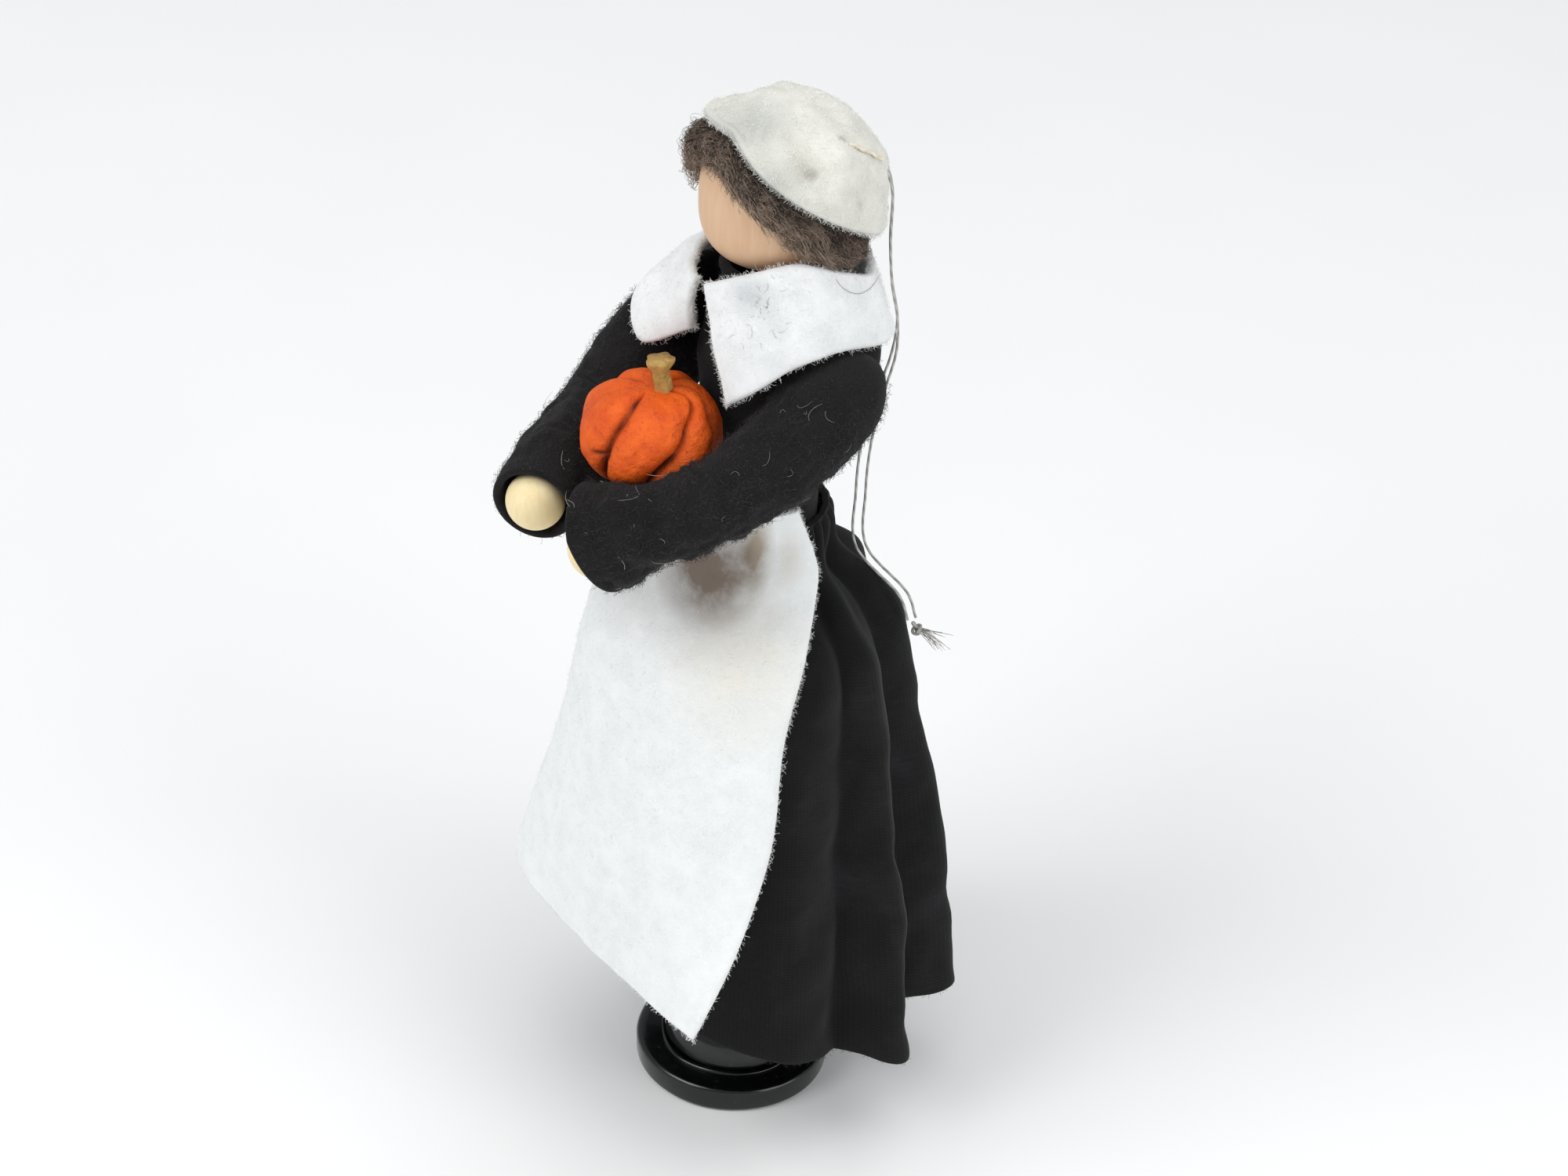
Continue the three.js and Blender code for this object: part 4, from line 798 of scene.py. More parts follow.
stem_t = np.linspace(0, 1, 26)
stem_aside = mix(*STEM_ASIDE, stem_t)
stem_path = np.stack([
    stem_aside, PUMPKIN_MIDDLE[1] + stem_aside + STEM_BEND * stem_t**2,
    PUMPKIN_STEM_Z - 0.4 + (STEM_LENGTH + 0.1) * stem_t], 1)
stem_radius = STEM_RADIUS * (0.95 - 0.35 * stem_t + 0.3 * stem_t**2) + STEM_FLARE * rise(stem_t, 0.6, 0.95)
stem_rows = tube(stem_path, stem_radius, 40)
stem_out = stem_rows - stem_path[:, None]
stem_turn = np.linspace(0, TAU, 40, endpoint=False)[None]
stem_ribs = 1 + 0.07 * np.cos(5 * stem_turn) + 0.04 * wobble(stem_rows, 1.5, 7)
stem_grid = capped(stem_path[:, None] + stem_out * stem_ribs[..., None])
dress(piece("pumpkin_stem_shaped", [stem_grid], True, marks={"groove": [np.zeros(stem_grid.shape[:2])]}),
      TAN_CLAY, "tan_clay", "figure", "pumpkin_stem")


# ---- felt and cloth ----

def both_faces(middle, thickness, edge_share, ring):
    """The two faces of a sheet: its middle moved out and in along its normal by half a thickness that rounds off to
    nothing at the free edges, where they meet."""
    out = grid_normals(middle, ring)
    step = out * (thickness / 2 * edge_share)[..., None]
    return middle + step, middle - step, out


def cloth_uv(grid, ring):
    """Millimetres along a grid's rows and columns, from its mean step lengths."""
    wide = np.concatenate([grid, grid[:, :1]], 1) if ring else grid
    over = np.linalg.norm(np.diff(wide, axis=1), axis=-1).mean(0)
    down = np.linalg.norm(np.diff(grid, axis=0), axis=-1).mean(1)
    return np.stack(np.meshgrid(np.r_[0, np.cumsum(over)], np.r_[0, np.cumsum(down)]), -1)


def cap_growth(turn, lift):
    """How far the cap's outside stands off the head: slack behind, tighter at the crown."""
    return CAP_GROWTH + mix(CAP_CROWN_SLACK, CAP_SLACK * (1 - np.cos(turn)) / 2, np.cos(lift))


def cap_edge_lift(turn):
    """Lift of the cap's free edge: high over the face, low behind, and askew on the doll's right."""
    askew = CAP_ASKEW * np.clip(-np.sin(turn), 0, 1) ** 1.5
    return head_lift(HEAD_MIDDLE + CAP_EDGE + CAP_EDGE_RISE * np.cos(turn + askew), cap_growth(turn, 0.0))


def cap_middle():
    """The cap's middle surface: the grown head from the free edge to the crown, with soft dents and a pinched fold."""
    turn = np.linspace(0, TAU, 240, endpoint=False)[None]
    down = edged(CAP_ARC, 54, FELT / 2)[:59][:, None]
    share = down / down[-1]
    lift = mix(cap_edge_lift(turn), math.pi / 2, share)
    radius, z = head_shape(lift, cap_growth(turn, lift) - FELT / 2)
    grid = polar(turn, radius, z)
    fade = rise(share, 0.0, 0.15) * rise(np.cos(lift), 0.0, 0.3)
    dents = 0.16 * wobble(grid, 7, 21) + 0.06 * wobble(grid, 2.6, 22)
    for place, size, depth in CAP_DENTS:
        dents = dents - depth * bell(np.linalg.norm(grid - place, axis=-1), 0, size)
    fold = bell(turn, *CAP_FOLD) * rise(share, 0.25, 0.5) * (1 - rise(share, 0.7, 0.95))
    return grid + grid_normals(grid, True) * ((dents - CAP_FOLD_DEPTH * fold) * fade)[..., None], down


cap_grid, cap_down = cap_middle()
cap_outer, cap_inner, cap_out = both_faces(
    cap_grid, FELT, np.broadcast_to(round_edge(cap_down, FELT / 2), cap_grid.shape[:2]), True)
cap = dress(piece("felt_cap_sewn", [cap_outer, cap_inner], True), CAP_FELT, "white_felt", "figure", "felt_cap")


def on_cap(turn, height, off):
    """A point on the cap's outside at a turn and a height over the head's middle."""
    lift = head_lift(HEAD_MIDDLE + height, cap_growth(turn, 0.5))
    radius, z = head_shape(lift, cap_growth(turn, lift) + off)
    return polar(turn, radius, z)


seam_degrees = np.linspace(SEAM_TURNS[0] - 4, SEAM_TURNS[-1] + 4, 60)
seam_height = np.interp(seam_degrees, SEAM_TURNS, SEAM_HEIGHTS)
# the stitches dip in and out of the felt
seam_path = on_cap(np.radians(seam_degrees), seam_height, 0.02 + 0.12 * np.cos(np.linspace(0, 7 * math.pi, 60)))
seam = dress(
    thread("cap_seam_sewn", seam_path, STITCH_RADIUS), CREAM_THREAD, "cream_thread", "figure", "cap_seam_thread")


def hair_surface(shown, turn, off):
    """The wool round the head: from its low edge to the cap's edge, puffed in its middle and lumpy in locks."""
    low = HEAD_MIDDLE + HAIR_LOW + HAIR_EDGE_RISE * np.cos(turn) + HAIR_SAG * np.cos(2 * turn)
    top = cap_edge_lift(turn)
    bottom = np.minimum(head_lift(low, HAIR_GROWTH), top - 0.12)
    lift = mix(bottom, top, shown) + HAIR_TUCK * np.clip(shown - 0.9, 0, 1)
    lump = HAIR_LUMP * np.cos(HAIR_LOCKS * turn + TAU * shown)
    puff = HAIR_PUFF * np.sin(math.pi * np.clip(shown, 0, 1))
    radius, z = head_shape(lift, HAIR_GROWTH + lump + puff + off)
    return polar(turn, radius, z)


hair_turn = np.linspace(0, TAU, 220, endpoint=False)[None]
hair_shown = np.linspace(0, 1.1, 26)[:, None]
hair_outer = hair_surface(hair_shown, hair_turn, -0.25)
hair_outer = hair_outer + grid_normals(hair_outer, True) * (0.16 * wobble(hair_outer, 1.4, 41))[..., None]
hair_ends = (head_lift(hair_outer[row, :, 2], HAIR_GLUE) for row in (slice(0, 1), slice(-1, None)))
hair_under = polar(hair_turn, *head_shape(mix(*hair_ends, hair_shown / 1.1), HAIR_GLUE))
hair_loop = np.concatenate([hair_outer, hair_under[::-1], hair_outer[:1]])
dress(piece("hair_band_matted", [hair_loop], True), HAIR_BED, "brown_wool", "figure", "hair_band")


def curls(count, seed, low, high, stray):
    """Wool curls: each starts on the hair, runs a little way in a direction of its own and coils about its path.

    It runs about a tenth of a radian round the head and climbs about an eighth of the hair, in one to two and a half
    turns. Gives the paths, and the painted shade and light of each: darker by the cap, where the cap shades the wool,
    lighter at the low edge.
    """
    rng = np.random.default_rng(seed)
    turn = rng.uniform(0, TAU, (count, 1))
    shown = rng.uniform(low, high, (count, 1))
    t = np.linspace(0, 1, 13)[None]
    run = rng.normal(0, 0.11, (count, 1))
    climb = rng.normal(0, 0.13, (count, 1))
    wind, phase = rng.uniform(1.2, 2.4, (count, 1)), rng.uniform(0, TAU, (count, 1))
    coil = rng.uniform(0.25, 0.75, (count, 1))
    slant = rng.uniform(-0.8, 0.8, (count, 1))
    spin = phase + TAU * wind * t
    off = stray * rng.uniform(0, 1, (count, 1)) ** 2 * np.sin(math.pi * t) + coil * 0.4 * np.cos(spin) - 0.05
    height = np.clip(shown + climb * t + 0.09 * coil * np.sin(spin), -0.25, 1.0)
    around = turn + run * t + 0.065 * coil * np.cos(spin + slant)
    # painted shade near the cap's edge and painted light at the hair's low edge
    return hair_surface(height, around, off), 0.6 * (0.42 - shown[:, 0])


for number, (count, low, high, stray, thick) in enumerate(CURLS):
    curl_paths, curl_painted_shade = curls(count, 51 + number, low, high, stray)
    dress(hairs(f"hair_curls_{number}", curl_paths, thick, 61 + number, curl_painted_shade), BROWN_WOOL, "brown_wool", "figure")


# collar

def collar_middle():
    """The collar's middle surface: straight across from its neck edge to its outer edge, crowned a little between."""
    neck = [polar(math.radians(t), HEAD_RADIUS + out, HEAD_BOTTOM + up) for t, out, up in COLLAR_NECK]
    left = [(SHOULDER_X + x, y, COLLAR_TOP + z) for x, y, z in COLLAR_LEFT]
    right = [(-SHOULDER_X - x, y, COLLAR_TOP + z) for x, y, z in COLLAR_RIGHT]
    outer = left + [(0, COLLAR_BACK[0], COLLAR_TOP + COLLAR_BACK[1])] + right
    over = edged(COLLAR_GIRTH, 190, FELT / 2)
    down = edged(COLLAR_WIDTH, 30, FELT / 2)
    dense = 600
    place = over / over[-1] * (dense - 1)
    inner_edge, outer_edge = (
        np.stack([np.interp(place, np.arange(dense), route(edge, dense)[:, k]) for k in range(3)], 1)
        for edge in (np.array(neck), np.array(outer)))
    share = (down / down[-1])[:, None, None]
    grid = mix(inner_edge[None], outer_edge[None], share)
    out = grid_normals(grid, False)
    out = out * np.where(out[..., 2:].mean() < 0, -1, 1)
    grid = grid + out * (COLLAR_CROWN * np.sin(math.pi * share[..., 0]) + 0.1 * wobble(grid, 6, 71))[..., None]
    width = np.linalg.norm(outer_edge - inner_edge, axis=1)[None]
    side = np.minimum(over, over[-1] - over)[None] * np.ones((len(down), 1))
    edge = np.minimum(np.minimum(down, down[-1] - down)[:, None] * width / COLLAR_WIDTH, side)
    return grid, edge


collar_grid, collar_edge = collar_middle()
collar_outer, collar_inner, collar_out = both_faces(collar_grid, FELT, round_edge(collar_edge, FELT / 2), False)
collar = dress(
    piece("felt_collar_cut", [collar_outer, collar_inner], False), COLLAR_FELT, "white_felt", "figure", "felt_collar")


# bodice

def bodice_middle():
    """The bodice's middle surface: a felt tube round the peg, drawn in over its shoulder on a quarter ellipse, standing
    up round the neck, and fuller on the chest beside the doll's right arm. Behind, it bunches out under the collar from
    sleeve to sleeve."""
    angle = np.linspace(0, 0.4 * math.pi, 16)
    shoulder = np.stack([
        mix(BODICE_NECK, BODICE_RADIUS, np.cos(angle)) - FELT / 2,
        mix(BODICE_SHOULDER, BODICE_HIGH - FELT / 2, np.sin(angle))], 1)
    profile = np.vstack([[(BODICE_RADIUS - FELT / 2, BODICE_LOW)], shoulder, BODICE_STAND])
    along = np.r_[0, np.cumsum(np.linalg.norm(np.diff(profile, axis=0), axis=1))]
    down = edged(along[-1], 60, FELT / 2)
    radius, z = (np.interp(down, along, profile[:, k])[:, None] for k in (0, 1))
    grid = polar(np.linspace(0, TAU, 160, endpoint=False)[None], radius, z)
    turn = np.arctan2(grid[..., 0], -grid[..., 1])
    chest = 0.9 * bell(turn, -0.9, 0.6) * bell(z, 96, 4)
    lumps = 0.12 * wobble(grid, 6, 81) * rise(down, 0, 3)[:, None] + chest
    away = np.degrees(np.abs(turn))
    bunch = (3.4 + 2.0 * bell(away, 139, 20)) * rise(away, 104, 136)
    grid = grid + polar(turn, bunch * rise(z, 87, 95) * (1 - rise(z, 99.3, 104)), 0.0)
    return grid + grid_normals(grid, True) * lumps[..., None], np.minimum(down, along[-1] - down)[:, None]


bodice_grid, bodice_edge = bodice_middle()
bodice_outer, bodice_inner, bodice_out = both_faces(
    bodice_grid, FELT, np.broadcast_to(round_edge(bodice_edge, FELT / 2), bodice_grid.shape[:2]), True)
bodice = dress(
    piece("felt_bodice_wrapped", [bodice_outer, bodice_inner], True), BLACK_FELT, "black_felt", "figure", "felt_bodice")


# sleeves

def clear_of_pumpkin(points):
    """The points moved straight out from the pumpkin's middle where they lie inside it or in the room round it."""
    size = np.array((PUMPKIN_RADIUS, PUMPKIN_RADIUS, PUMPKIN_HALF)) + PUMPKIN_ROOM
    away = (points - PUMPKIN_MIDDLE) / size
    return PUMPKIN_MIDDLE + away / np.minimum(np.linalg.norm(away, axis=-1, keepdims=True), 1) * size


def sleeve_faces(path, side, cuff, cut, slim, full, seed):
    """A sleeve: a tube round the arm that narrows after the shoulder and opens at the cuff, closed over the shoulder.

    Its outside runs from the closed end to the cuff, turns over the cuff's rounded edge and comes back inside. It is
    puffed at the shoulder, up and back and under the arm, and creased inside the elbow. It swells until it lies
    against the pumpkin, is slimmer under the forearm, and the cuff is cut back on its lower outer side.
    """
    flare, climb = cuff
    along, across, other = carried(path)
    share = np.linspace(0, 1, len(path))
    opening = np.clip((share - CUFF_START) / (1 - CUFF_START), 0, 1) ** 2
    outside = mix(SLEEVE_ROOT_RADIUS, SLEEVE_RADIUS, np.clip((share - 0.2) / 0.5, 0, 1)) + flare * opening
    middle = path + opening[:, None] * np.array((0, 0, climb))
    turn = np.linspace(0, TAU, 120, endpoint=False)[:, None]
    ring = across[:, None] * np.cos(turn) + other[:, None] * np.sin(turn)
    rows = middle[:, None] + outside[:, None, None] * ring
    bend = np.gradient(along, axis=0)
    inner_side = np.clip((ring * unit(bend)[:, None]).sum(-1), 0, 1)
    bent = (np.linalg.norm(bend, axis=1) / np.linalg.norm(bend, axis=1).max())[:, None]
    crease = 0.3 * inner_side * bent * np.sin(share[:, None] * 95 + 2 * np.sin(3 * turn[:, 0])[None])
    fade = (rise(share, 0.0, 0.08) * (1 - rise(share, 0.93, 1.0)))[:, None]
    lumps = 0.16 * wobble(rows, 5, seed) + 0.07 * wobble(rows, 2.2, seed + 1)
    mirror = np.array((side, 1, 1))
    toward = unit(PUMPKIN_MIDDLE - middle)[:, None]
    swell = full * np.clip((ring * toward).sum(-1), 0, 1) \
        * (rise(share, 0.3, 0.55) * (1 - rise(share, 0.82, 1.0)))[:, None]
    under = slim * np.clip(ring @ unit(FOREARM_UNDER * mirror), 0, 1) ** 1.5 \
        * (rise(share, 0.3, 0.48) * (1 - rise(share, 0.76, 0.93)))[:, None]
    rows = rows + ring * ((lumps + crease) * fade + swell - under)[..., None]
    dome = np.linspace(0, math.pi / 2, 14)[:-1]
    start = path[0] - along[0] * outside[0] * np.cos(dome)[:, None]
    domed = start[:, None] + outside[0] * np.sin(dome)[:, None, None] * ring[0]
    skin = np.concatenate([domed, rows])
    near = 1 - rise(np.r_[np.zeros(len(domed)), share], 0.05, 0.4)[:, None]
    for way, size in SHOULDER_PUFFS:
        push = unit(way * mirror)
        skin = skin + push * (size * np.clip(unit(skin - path[0]) @ push, 0, 1) ** 3 * near)[..., None]
    skin = clear_of_pumpkin(skin)
    cut_back = along[:, None] * (
        cut * rise(share, 0.85, 1)[:, None] * np.clip(ring @ unit(CUFF_CUT_SIDE * mirror), 0, 1))[..., None]
    skin[len(domed):] -= cut_back
    tip = np.linspace(0, math.pi, 9)[1:]
    cuff_edge = middle[-1] - cut_back[-1] + along[-1] * (SLEEVE_WALL / 2 * np.sin(tip))[:, None, None] \
        + ring[-1] * (outside[-1] - SLEEVE_WALL / 2 * (1 - np.cos(tip)))[:, None, None]
    lining = middle[-2::-2, None] - cut_back[-2::-2] \
        + ring[-2::-2] * (outside[-2::-2, None] - SLEEVE_WALL - under[-2::-2])[..., None]
    return capped(np.concatenate([skin, cuff_edge, lining])), skin


sleeves, sleeve_skins = {}, {}
for side, sewn in SLEEVES.items():
    shell, sleeve_skins[side] = sleeve_faces(arm_paths[side], OUTWARD[side], *sewn)
    sleeves[side] = dress(
        piece(f"{side}_sleeve_sewn", [shell], True), BLACK_FELT, "black_felt", f"{side}_arm", f"{side}_sleeve")


# skirt

def front_share(turn, power):
    """1 where the hem is lifted most, 0 opposite: half a cosine raised to a power."""
    return ((1 + np.cos(turn - HEM_LIFT_TURN)) / 2) ** power


def skirt_section(turn, share):
    """Radius and drop of the skirt at a share of its length: waist, gathered puff, hip and hem on one smooth curve."""
    hem_radius = mix(HEM_BACK_RADIUS, HEM_FRONT_RADIUS, front_share(turn, HEM_TUCK_POWER))
    hem_length = mix(HEM_BACK_LENGTH, HEM_FRONT_LENGTH, front_share(turn, HEM_LIFT_POWER))
    one = np.ones_like(hem_radius)
    points = np.stack([
        np.stack([WAIST_RADIUS * one, 0 * one], -1),
        np.stack([(WAIST_RADIUS + WAIST_PUFF) * one, WAIST_PUFF_LENGTH * one], -1),
        np.stack([HIP_RADIUS * one, HIP_LENGTH * one], -1),
        np.stack([mix(HIP_RADIUS, hem_radius, 0.5 + SKIRT_SWELL), mix(HIP_LENGTH, hem_length, 0.5)], -1),
        np.stack([hem_radius, hem_length], -1),
    ])
    section = spline(points, share)
    return section[..., 0], section[..., 1]


def from_front(turn):
    """How far a turn is from the front, to either side."""
    return np.abs((turn + math.pi) % TAU - math.pi)


def fold_depth(turn, share):
    """Depth of the skirt's hanging folds: none under the apron, full at the sides and back, deepening to the hem."""
    return FOLD_DEPTH * rise(from_front(turn), *FOLD_SIDES) * rise(share, *FOLD_DROP)


def skirt_reach(turn, z):
    """Outside radius of the skirt's ridges at a turn and a height: its share is found by halving."""
    low, high = np.zeros(np.shape(turn)), np.ones(np.shape(turn))
    for _ in range(22):
        middle = (low + high) / 2
        above = WAIST_Z - skirt_section(turn, middle)[1] > z
        low, high = np.where(above, middle, low), np.where(above, high, middle)
    return skirt_section(turn, low)[0] + fold_depth(turn, low) + COTTON / 2


def skirt_middle():
    """The skirt's middle surface: its section swept round, with fine gathers at the waist and slack ripples. Its folds
    start as tucks below the waist, stand out at the hem, and fall off more steeply on their back side. Beside the apron
    only their valleys are left."""
    length = HEM_BACK_LENGTH
    down = edged(length, 92, COTTON / 2)[:, None]
    turn = np.linspace(0, TAU, 396, endpoint=False)[None]
    share, turn = np.broadcast_arrays(down / length, turn)
    radius, drop = skirt_section(turn, share)
    away = from_front(turn)
    wave = FOLDS * (turn - FOLD_TURN)
    ridge = np.cos(wave) - 0.22 * np.sin(2 * wave) + 0.1 * (np.cos(2 * wave) - 1)
    behind = rise(away, math.radians(84), math.radians(104))
    tucked = 1.4 * behind * rise(share, 0.06, 0.4) * (1 - 0.8 * rise(share, 0.5, 0.9))
    valley = 0.3 * (ridge - np.sqrt(ridge**2 + 0.2))
    folds = fold_depth(turn, share) * mix(valley, ridge, behind) + tucked * (ridge - 1)
    gathered = bell(share, 0.10, 0.12) * rise(share, 0.0, 0.06)
    gathers = 0.45 * gathered * np.cos(31 * turn + 2 * np.sin(4 * turn))
    grid = polar(turn, radius + folds + gathers, WAIST_Z - drop)
    slack = 0.25 * wobble(grid, 17, 101) + 0.1 * wobble(grid, 6, 102)
    loose = rise(away, *FOLD_SIDES) * rise(share, 0.1, 0.4)
    return grid + grid_normals(grid, True) * (slack * loose)[..., None], np.minimum(down, length - down)


skirt_grid, skirt_edge = skirt_middle()
skirt_outer, skirt_inner, skirt_out = both_faces(
    skirt_grid, COTTON, np.broadcast_to(round_edge(skirt_edge, COTTON / 2), skirt_grid.shape[:2]), True)
skirt = dress(
    piece("skirt_gathered", [skirt_outer, skirt_inner], True, cloth_uv(skirt_grid, True)), COTTON_CLOTH,
    "black_cotton", "figure", "skirt")


# apron

def apron_radius(turn, length, z):
    """Radius of the apron's inside: it lies on the skirt down to the point where its free corners start to hang flat,
    and from there it goes over to a flat front with rounded corners."""
    left = turn > 0
    start = np.where(left, APRON_LEFT_START, APRON_RIGHT_START)
    power = np.where(left, APRON_LEFT_POWER, APRON_RIGHT_POWER)
    reach = np.where(left, APRON_LEFT_REACH, APRON_RIGHT_REACH)
    share = np.clip((length - start) / (APRON_LENGTH - start), 0, 1) ** power
    room = CLEARANCE + APRON_EASE + APRON_STAND_OFF * np.clip(length / APRON_LENGTH, 0, 1)
    lying = skirt_reach(turn, z) + room
    front = skirt_reach(np.zeros_like(turn), z) + room
    flat = (np.clip(np.cos(turn) / front, 1e-6, None) ** 10 + reach ** -10.0) ** -0.1
    return np.maximum(mix(lying, flat, share), lying)


def apron_middle():
    """The apron's middle surface: across from its right edge to its left, down from over the waist to its hem."""
    edge = np.array(APRON_EDGE, float)
    down = edged(edge[-1, 0] - edge[0, 0], 96, FELT / 2)[:, None]
    across = edged(APRON_WIDTH, 100, FELT / 2)[None]
    v, u = np.broadcast_arrays(down / down[-1, 0], across / across[0, -1])
    at = spline(edge, v)
    length, reach = at[..., 0], np.radians(at[..., 1])
    turn = reach * (2 * u - 1)
    z = WAIST_Z - length - APRON_DROP * (1 - u) * v**2
    radius = apron_radius(turn, length, WAIST_Z - np.maximum(length, 0)) + FELT / 2
    grid = polar(turn, radius, z)
    ripple = 0.12 * wobble(grid, 13, 111) + 0.04 * wobble(grid, 5, 112)
    width = np.linalg.norm(np.diff(grid, axis=1), axis=-1).sum(1)[:, None]
    side = np.minimum(across, across[0, -1] - across) * np.clip(width / APRON_WIDTH, 0.6, 1.4)
    border = np.minimum(side, np.minimum(down, down[-1, 0] - down))
    return grid + grid_normals(grid, False) * np.abs(ripple)[..., None], border


apron_grid, apron_edge = apron_middle()
apron_outer, apron_inner, apron_out = both_faces(apron_grid, FELT, round_edge(apron_edge, FELT / 2), False)
apron = dress(piece("apron_cut", [apron_outer, apron_inner], False), APRON_FELT, "white_felt", "figure", "apron")


# ---- nap: loose fibres that stand off the felt ----

def edge_spots(borders, count, rng):
    """Random spots along a sheet's free edges, with directions that point off the edge."""
    places, away = [], []
    for line, inside, normal in borders:
        pick = rng.integers(0, len(line) - 1, count // len(borders))
        places.append(mix(line[pick], line[pick + 1], rng.uniform(0, 1, (len(pick), 1))))
        away.append(unit(unit(line[pick] - inside[pick]) + rng.normal(0, 0.5, (len(pick), 1)) * normal[pick]))
    return np.concatenate(places), np.concatenate(away)


def felt_nap(name, face, out, count, seed, material, slot, body, length=0.55, borders=(), short_above=200.0,
             hidden=lambda place: np.zeros(len(place), bool)):
    """Nap of a felt piece: fibres at random spots over its face, short above a height, and off its cut edges."""
    rng = np.random.default_rng(seed)
    place, normals = spots(face, out, count, rng)
    shown = ~hidden(place)
    place, normals = place[shown], normals[shown]
    high = (place[:, 2] > short_above)[:, None, None]
    paths = fibres(place, normals, length * np.where(high, 0.6, 1), np.where(high, 0.4, 0.6), rng)
    if borders:
        paths = np.concatenate([paths, fibres(*edge_spots(borders, EDGE_FIBRES, rng), length, 0.8, rng)])
    return dress(hairs(name, paths, NAP_RADIUS, seed), material, slot, body)


cap_nap = felt_nap(
    "felt_cap_nap", cap_outer[4:-4], cap_out[4:-4], 4200, 121, WHITE_NAP, "white_felt", "figure",
    borders=[(cap_grid[0], cap_grid[6], cap_out[4])])
collar_nap = felt_nap(
    "felt_collar_nap", collar_outer, collar_out, 3600, 123, WHITE_NAP, "white_felt", "figure", borders=[
        (collar_grid[-1], collar_grid[-7], collar_out[-5]), (collar_grid[0], collar_grid[6], collar_out[4]),
        (collar_grid[:, 0], collar_grid[:, 6], collar_out[:, 4]),
        (collar_grid[:, -1], collar_grid[:, -7], collar_out[:, -5])])
apron_nap = felt_nap(
    "apron_nap", apron_outer[30:], apron_out[30:], 5400, 125, WHITE_NAP, "white_felt", "figure", borders=[
        (apron_grid[:, 0], apron_grid[:, 6], apron_out[:, 4]), (apron_grid[:, -1], apron_grid[:, -7], apron_out[:, -5]),
        (apron_grid[-1], apron_grid[-7], apron_out[-5])])
bodice_nap = felt_nap("felt_bodice_nap", bodice_outer, bodice_out, 3000, 127, BLACK_NAP, "black_felt", "figure", 0.7)
skirt_fray = dress(
    hairs("skirt_hem_fray", fibres(
        *edge_spots([(skirt_grid[-1], skirt_grid[-7], skirt_out[-5])], 900, np.random.default_rng(128)), 0.6, 0.7,
        np.random.default_rng(128)), LINT_RADIUS, 128), BLACK_NAP, "black_cotton", "figure")
collar_rng = np.random.default_rng(129)
smudge_spots, smudge_out = spots(collar_outer, collar_out, 1500, collar_rng)
smudged = np.linalg.norm(smudge_spots - np.array(COLLAR_SMUDGE), axis=-1) < collar_rng.uniform(0, 4.5, 1500)
smudge_paths = fibres(smudge_spots[smudged], smudge_out[smudged], 0.8, 0.2, collar_rng, 7, 1.5)
collar_lint = dress(
    hairs("felt_collar_lint", smudge_paths, LINT_RADIUS, 129), LINT, "white_felt", "figure")
stray_hair = dress(
    hairs("stray_hair", route(STRAY_HAIR, 24)[None], STRAY_HAIR_RADIUS, 130), BROWN_WOOL, "brown_wool", "figure")
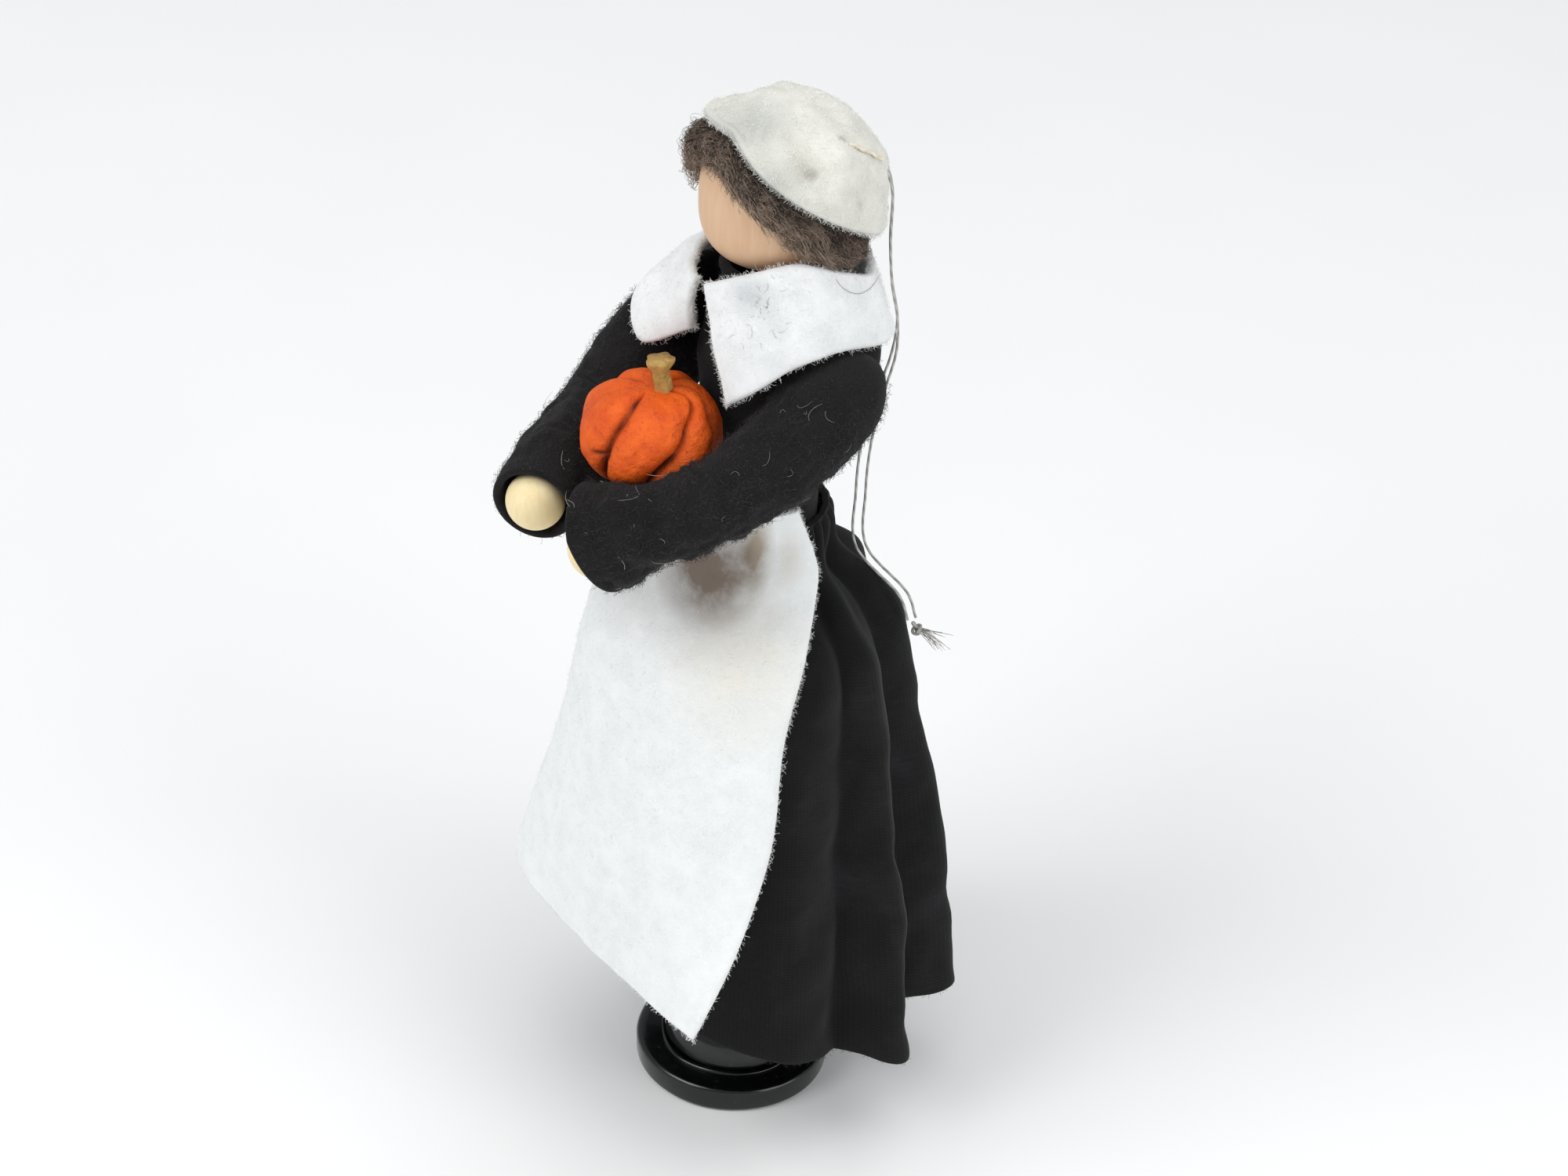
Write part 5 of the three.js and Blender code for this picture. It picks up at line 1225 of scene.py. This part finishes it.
for side, seed in (("left", 131), ("right", 141)):
    skin = sleeve_skins[side]
    out = grid_normals(skin, True)
    # the nap is short on the shoulder, which turns under the collar, and there is none where the wire goes in
    nap = felt_nap(f"{side}_sleeve_nap", skin[1:], out[1:], 8000, seed, BLACK_NAP, "black_felt", f"{side}_arm", 0.95,
                   short_above=SHOULDER_Z + 2.0,
                   hidden=lambda place: (np.abs(place[:, 0]) < SHOULDER_X - 2.5) & (place[:, 1] > -5))
    rng = np.random.default_rng(seed + 1)
    paths = fibres(*spots(skin[8:], out[8:], 46, rng), 1.5, 0.25, rng, 10, 1.8)
    lint = dress(hairs(f"{side}_sleeve_lint", paths, LINT_RADIUS, seed + 1), LINT, "black_felt", f"{side}_arm")

# ---- the wire stems, which stay as packed ----

for name in ("shoulder_stem", "left_arm_stem", "right_arm_stem"):
    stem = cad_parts[name]
    stem.data.materials.clear()
    stem.data.materials.append(WIRE_NAP)

# ---- floor and light ----

FLOOR_REACH = 4
# name, place and size in metres, power in watts
LAMPS = (
    ("soft_key", (-0.05, -0.62, 0.62), 0.5, 3.6),
    ("soft_fill", (0.75, 0.25, 0.45), 0.6, 2.7),
    ("soft_top", (0.05, 0.1, 0.95), 0.7, 2.8),
)
LAMP_TARGET = Vector((0, 0, 0.06))

floor_mesh = bpy.data.meshes.new("pale_floor")
floor_mesh.from_pydata(
    [(x * FLOOR_REACH, y * FLOOR_REACH, 0) for x, y in ((-1, -1), (1, -1), (1, 1), (-1, 1))], [], [(0, 1, 2, 3)])
floor = bpy.data.objects.new("pale_floor", floor_mesh)
bpy.context.scene.collection.objects.link(floor)
floor_finish, floor_tree, floor_shader, floor_coords = finish("pale_paper", {"Roughness": 0.9})
paper = node(floor_tree, "ShaderNodeTexNoise", {
    "Vector": floor_coords.outputs["Object"], "Scale": per_metre(40), "Detail": 2})
coat(floor_tree, floor_shader, "#f7f7f6", [(paper.outputs["Fac"], "#f3f3f2")])
floor_mesh.materials.append(floor_finish)

world = bpy.data.worlds.new("soft_room")
world.use_nodes = True
world.node_tree.nodes["Background"].inputs["Color"].default_value = (0.93, 0.96, 1.0, 1)
world.node_tree.nodes["Background"].inputs["Strength"].default_value = 0.45
bpy.context.scene.world = world
bpy.context.scene.view_settings.view_transform = "Standard"

for name, place, size, power in LAMPS:
    lamp = bpy.data.lights.new(name, "AREA")
    lamp.size = size
    lamp.energy = power
    light = bpy.data.objects.new(name, lamp)
    facing = (Vector(place) - LAMP_TARGET).to_track_quat("Z", "Y")
    light.matrix_world = Matrix.Translation(place) @ facing.to_matrix().to_4x4()
    bpy.context.scene.collection.objects.link(light)
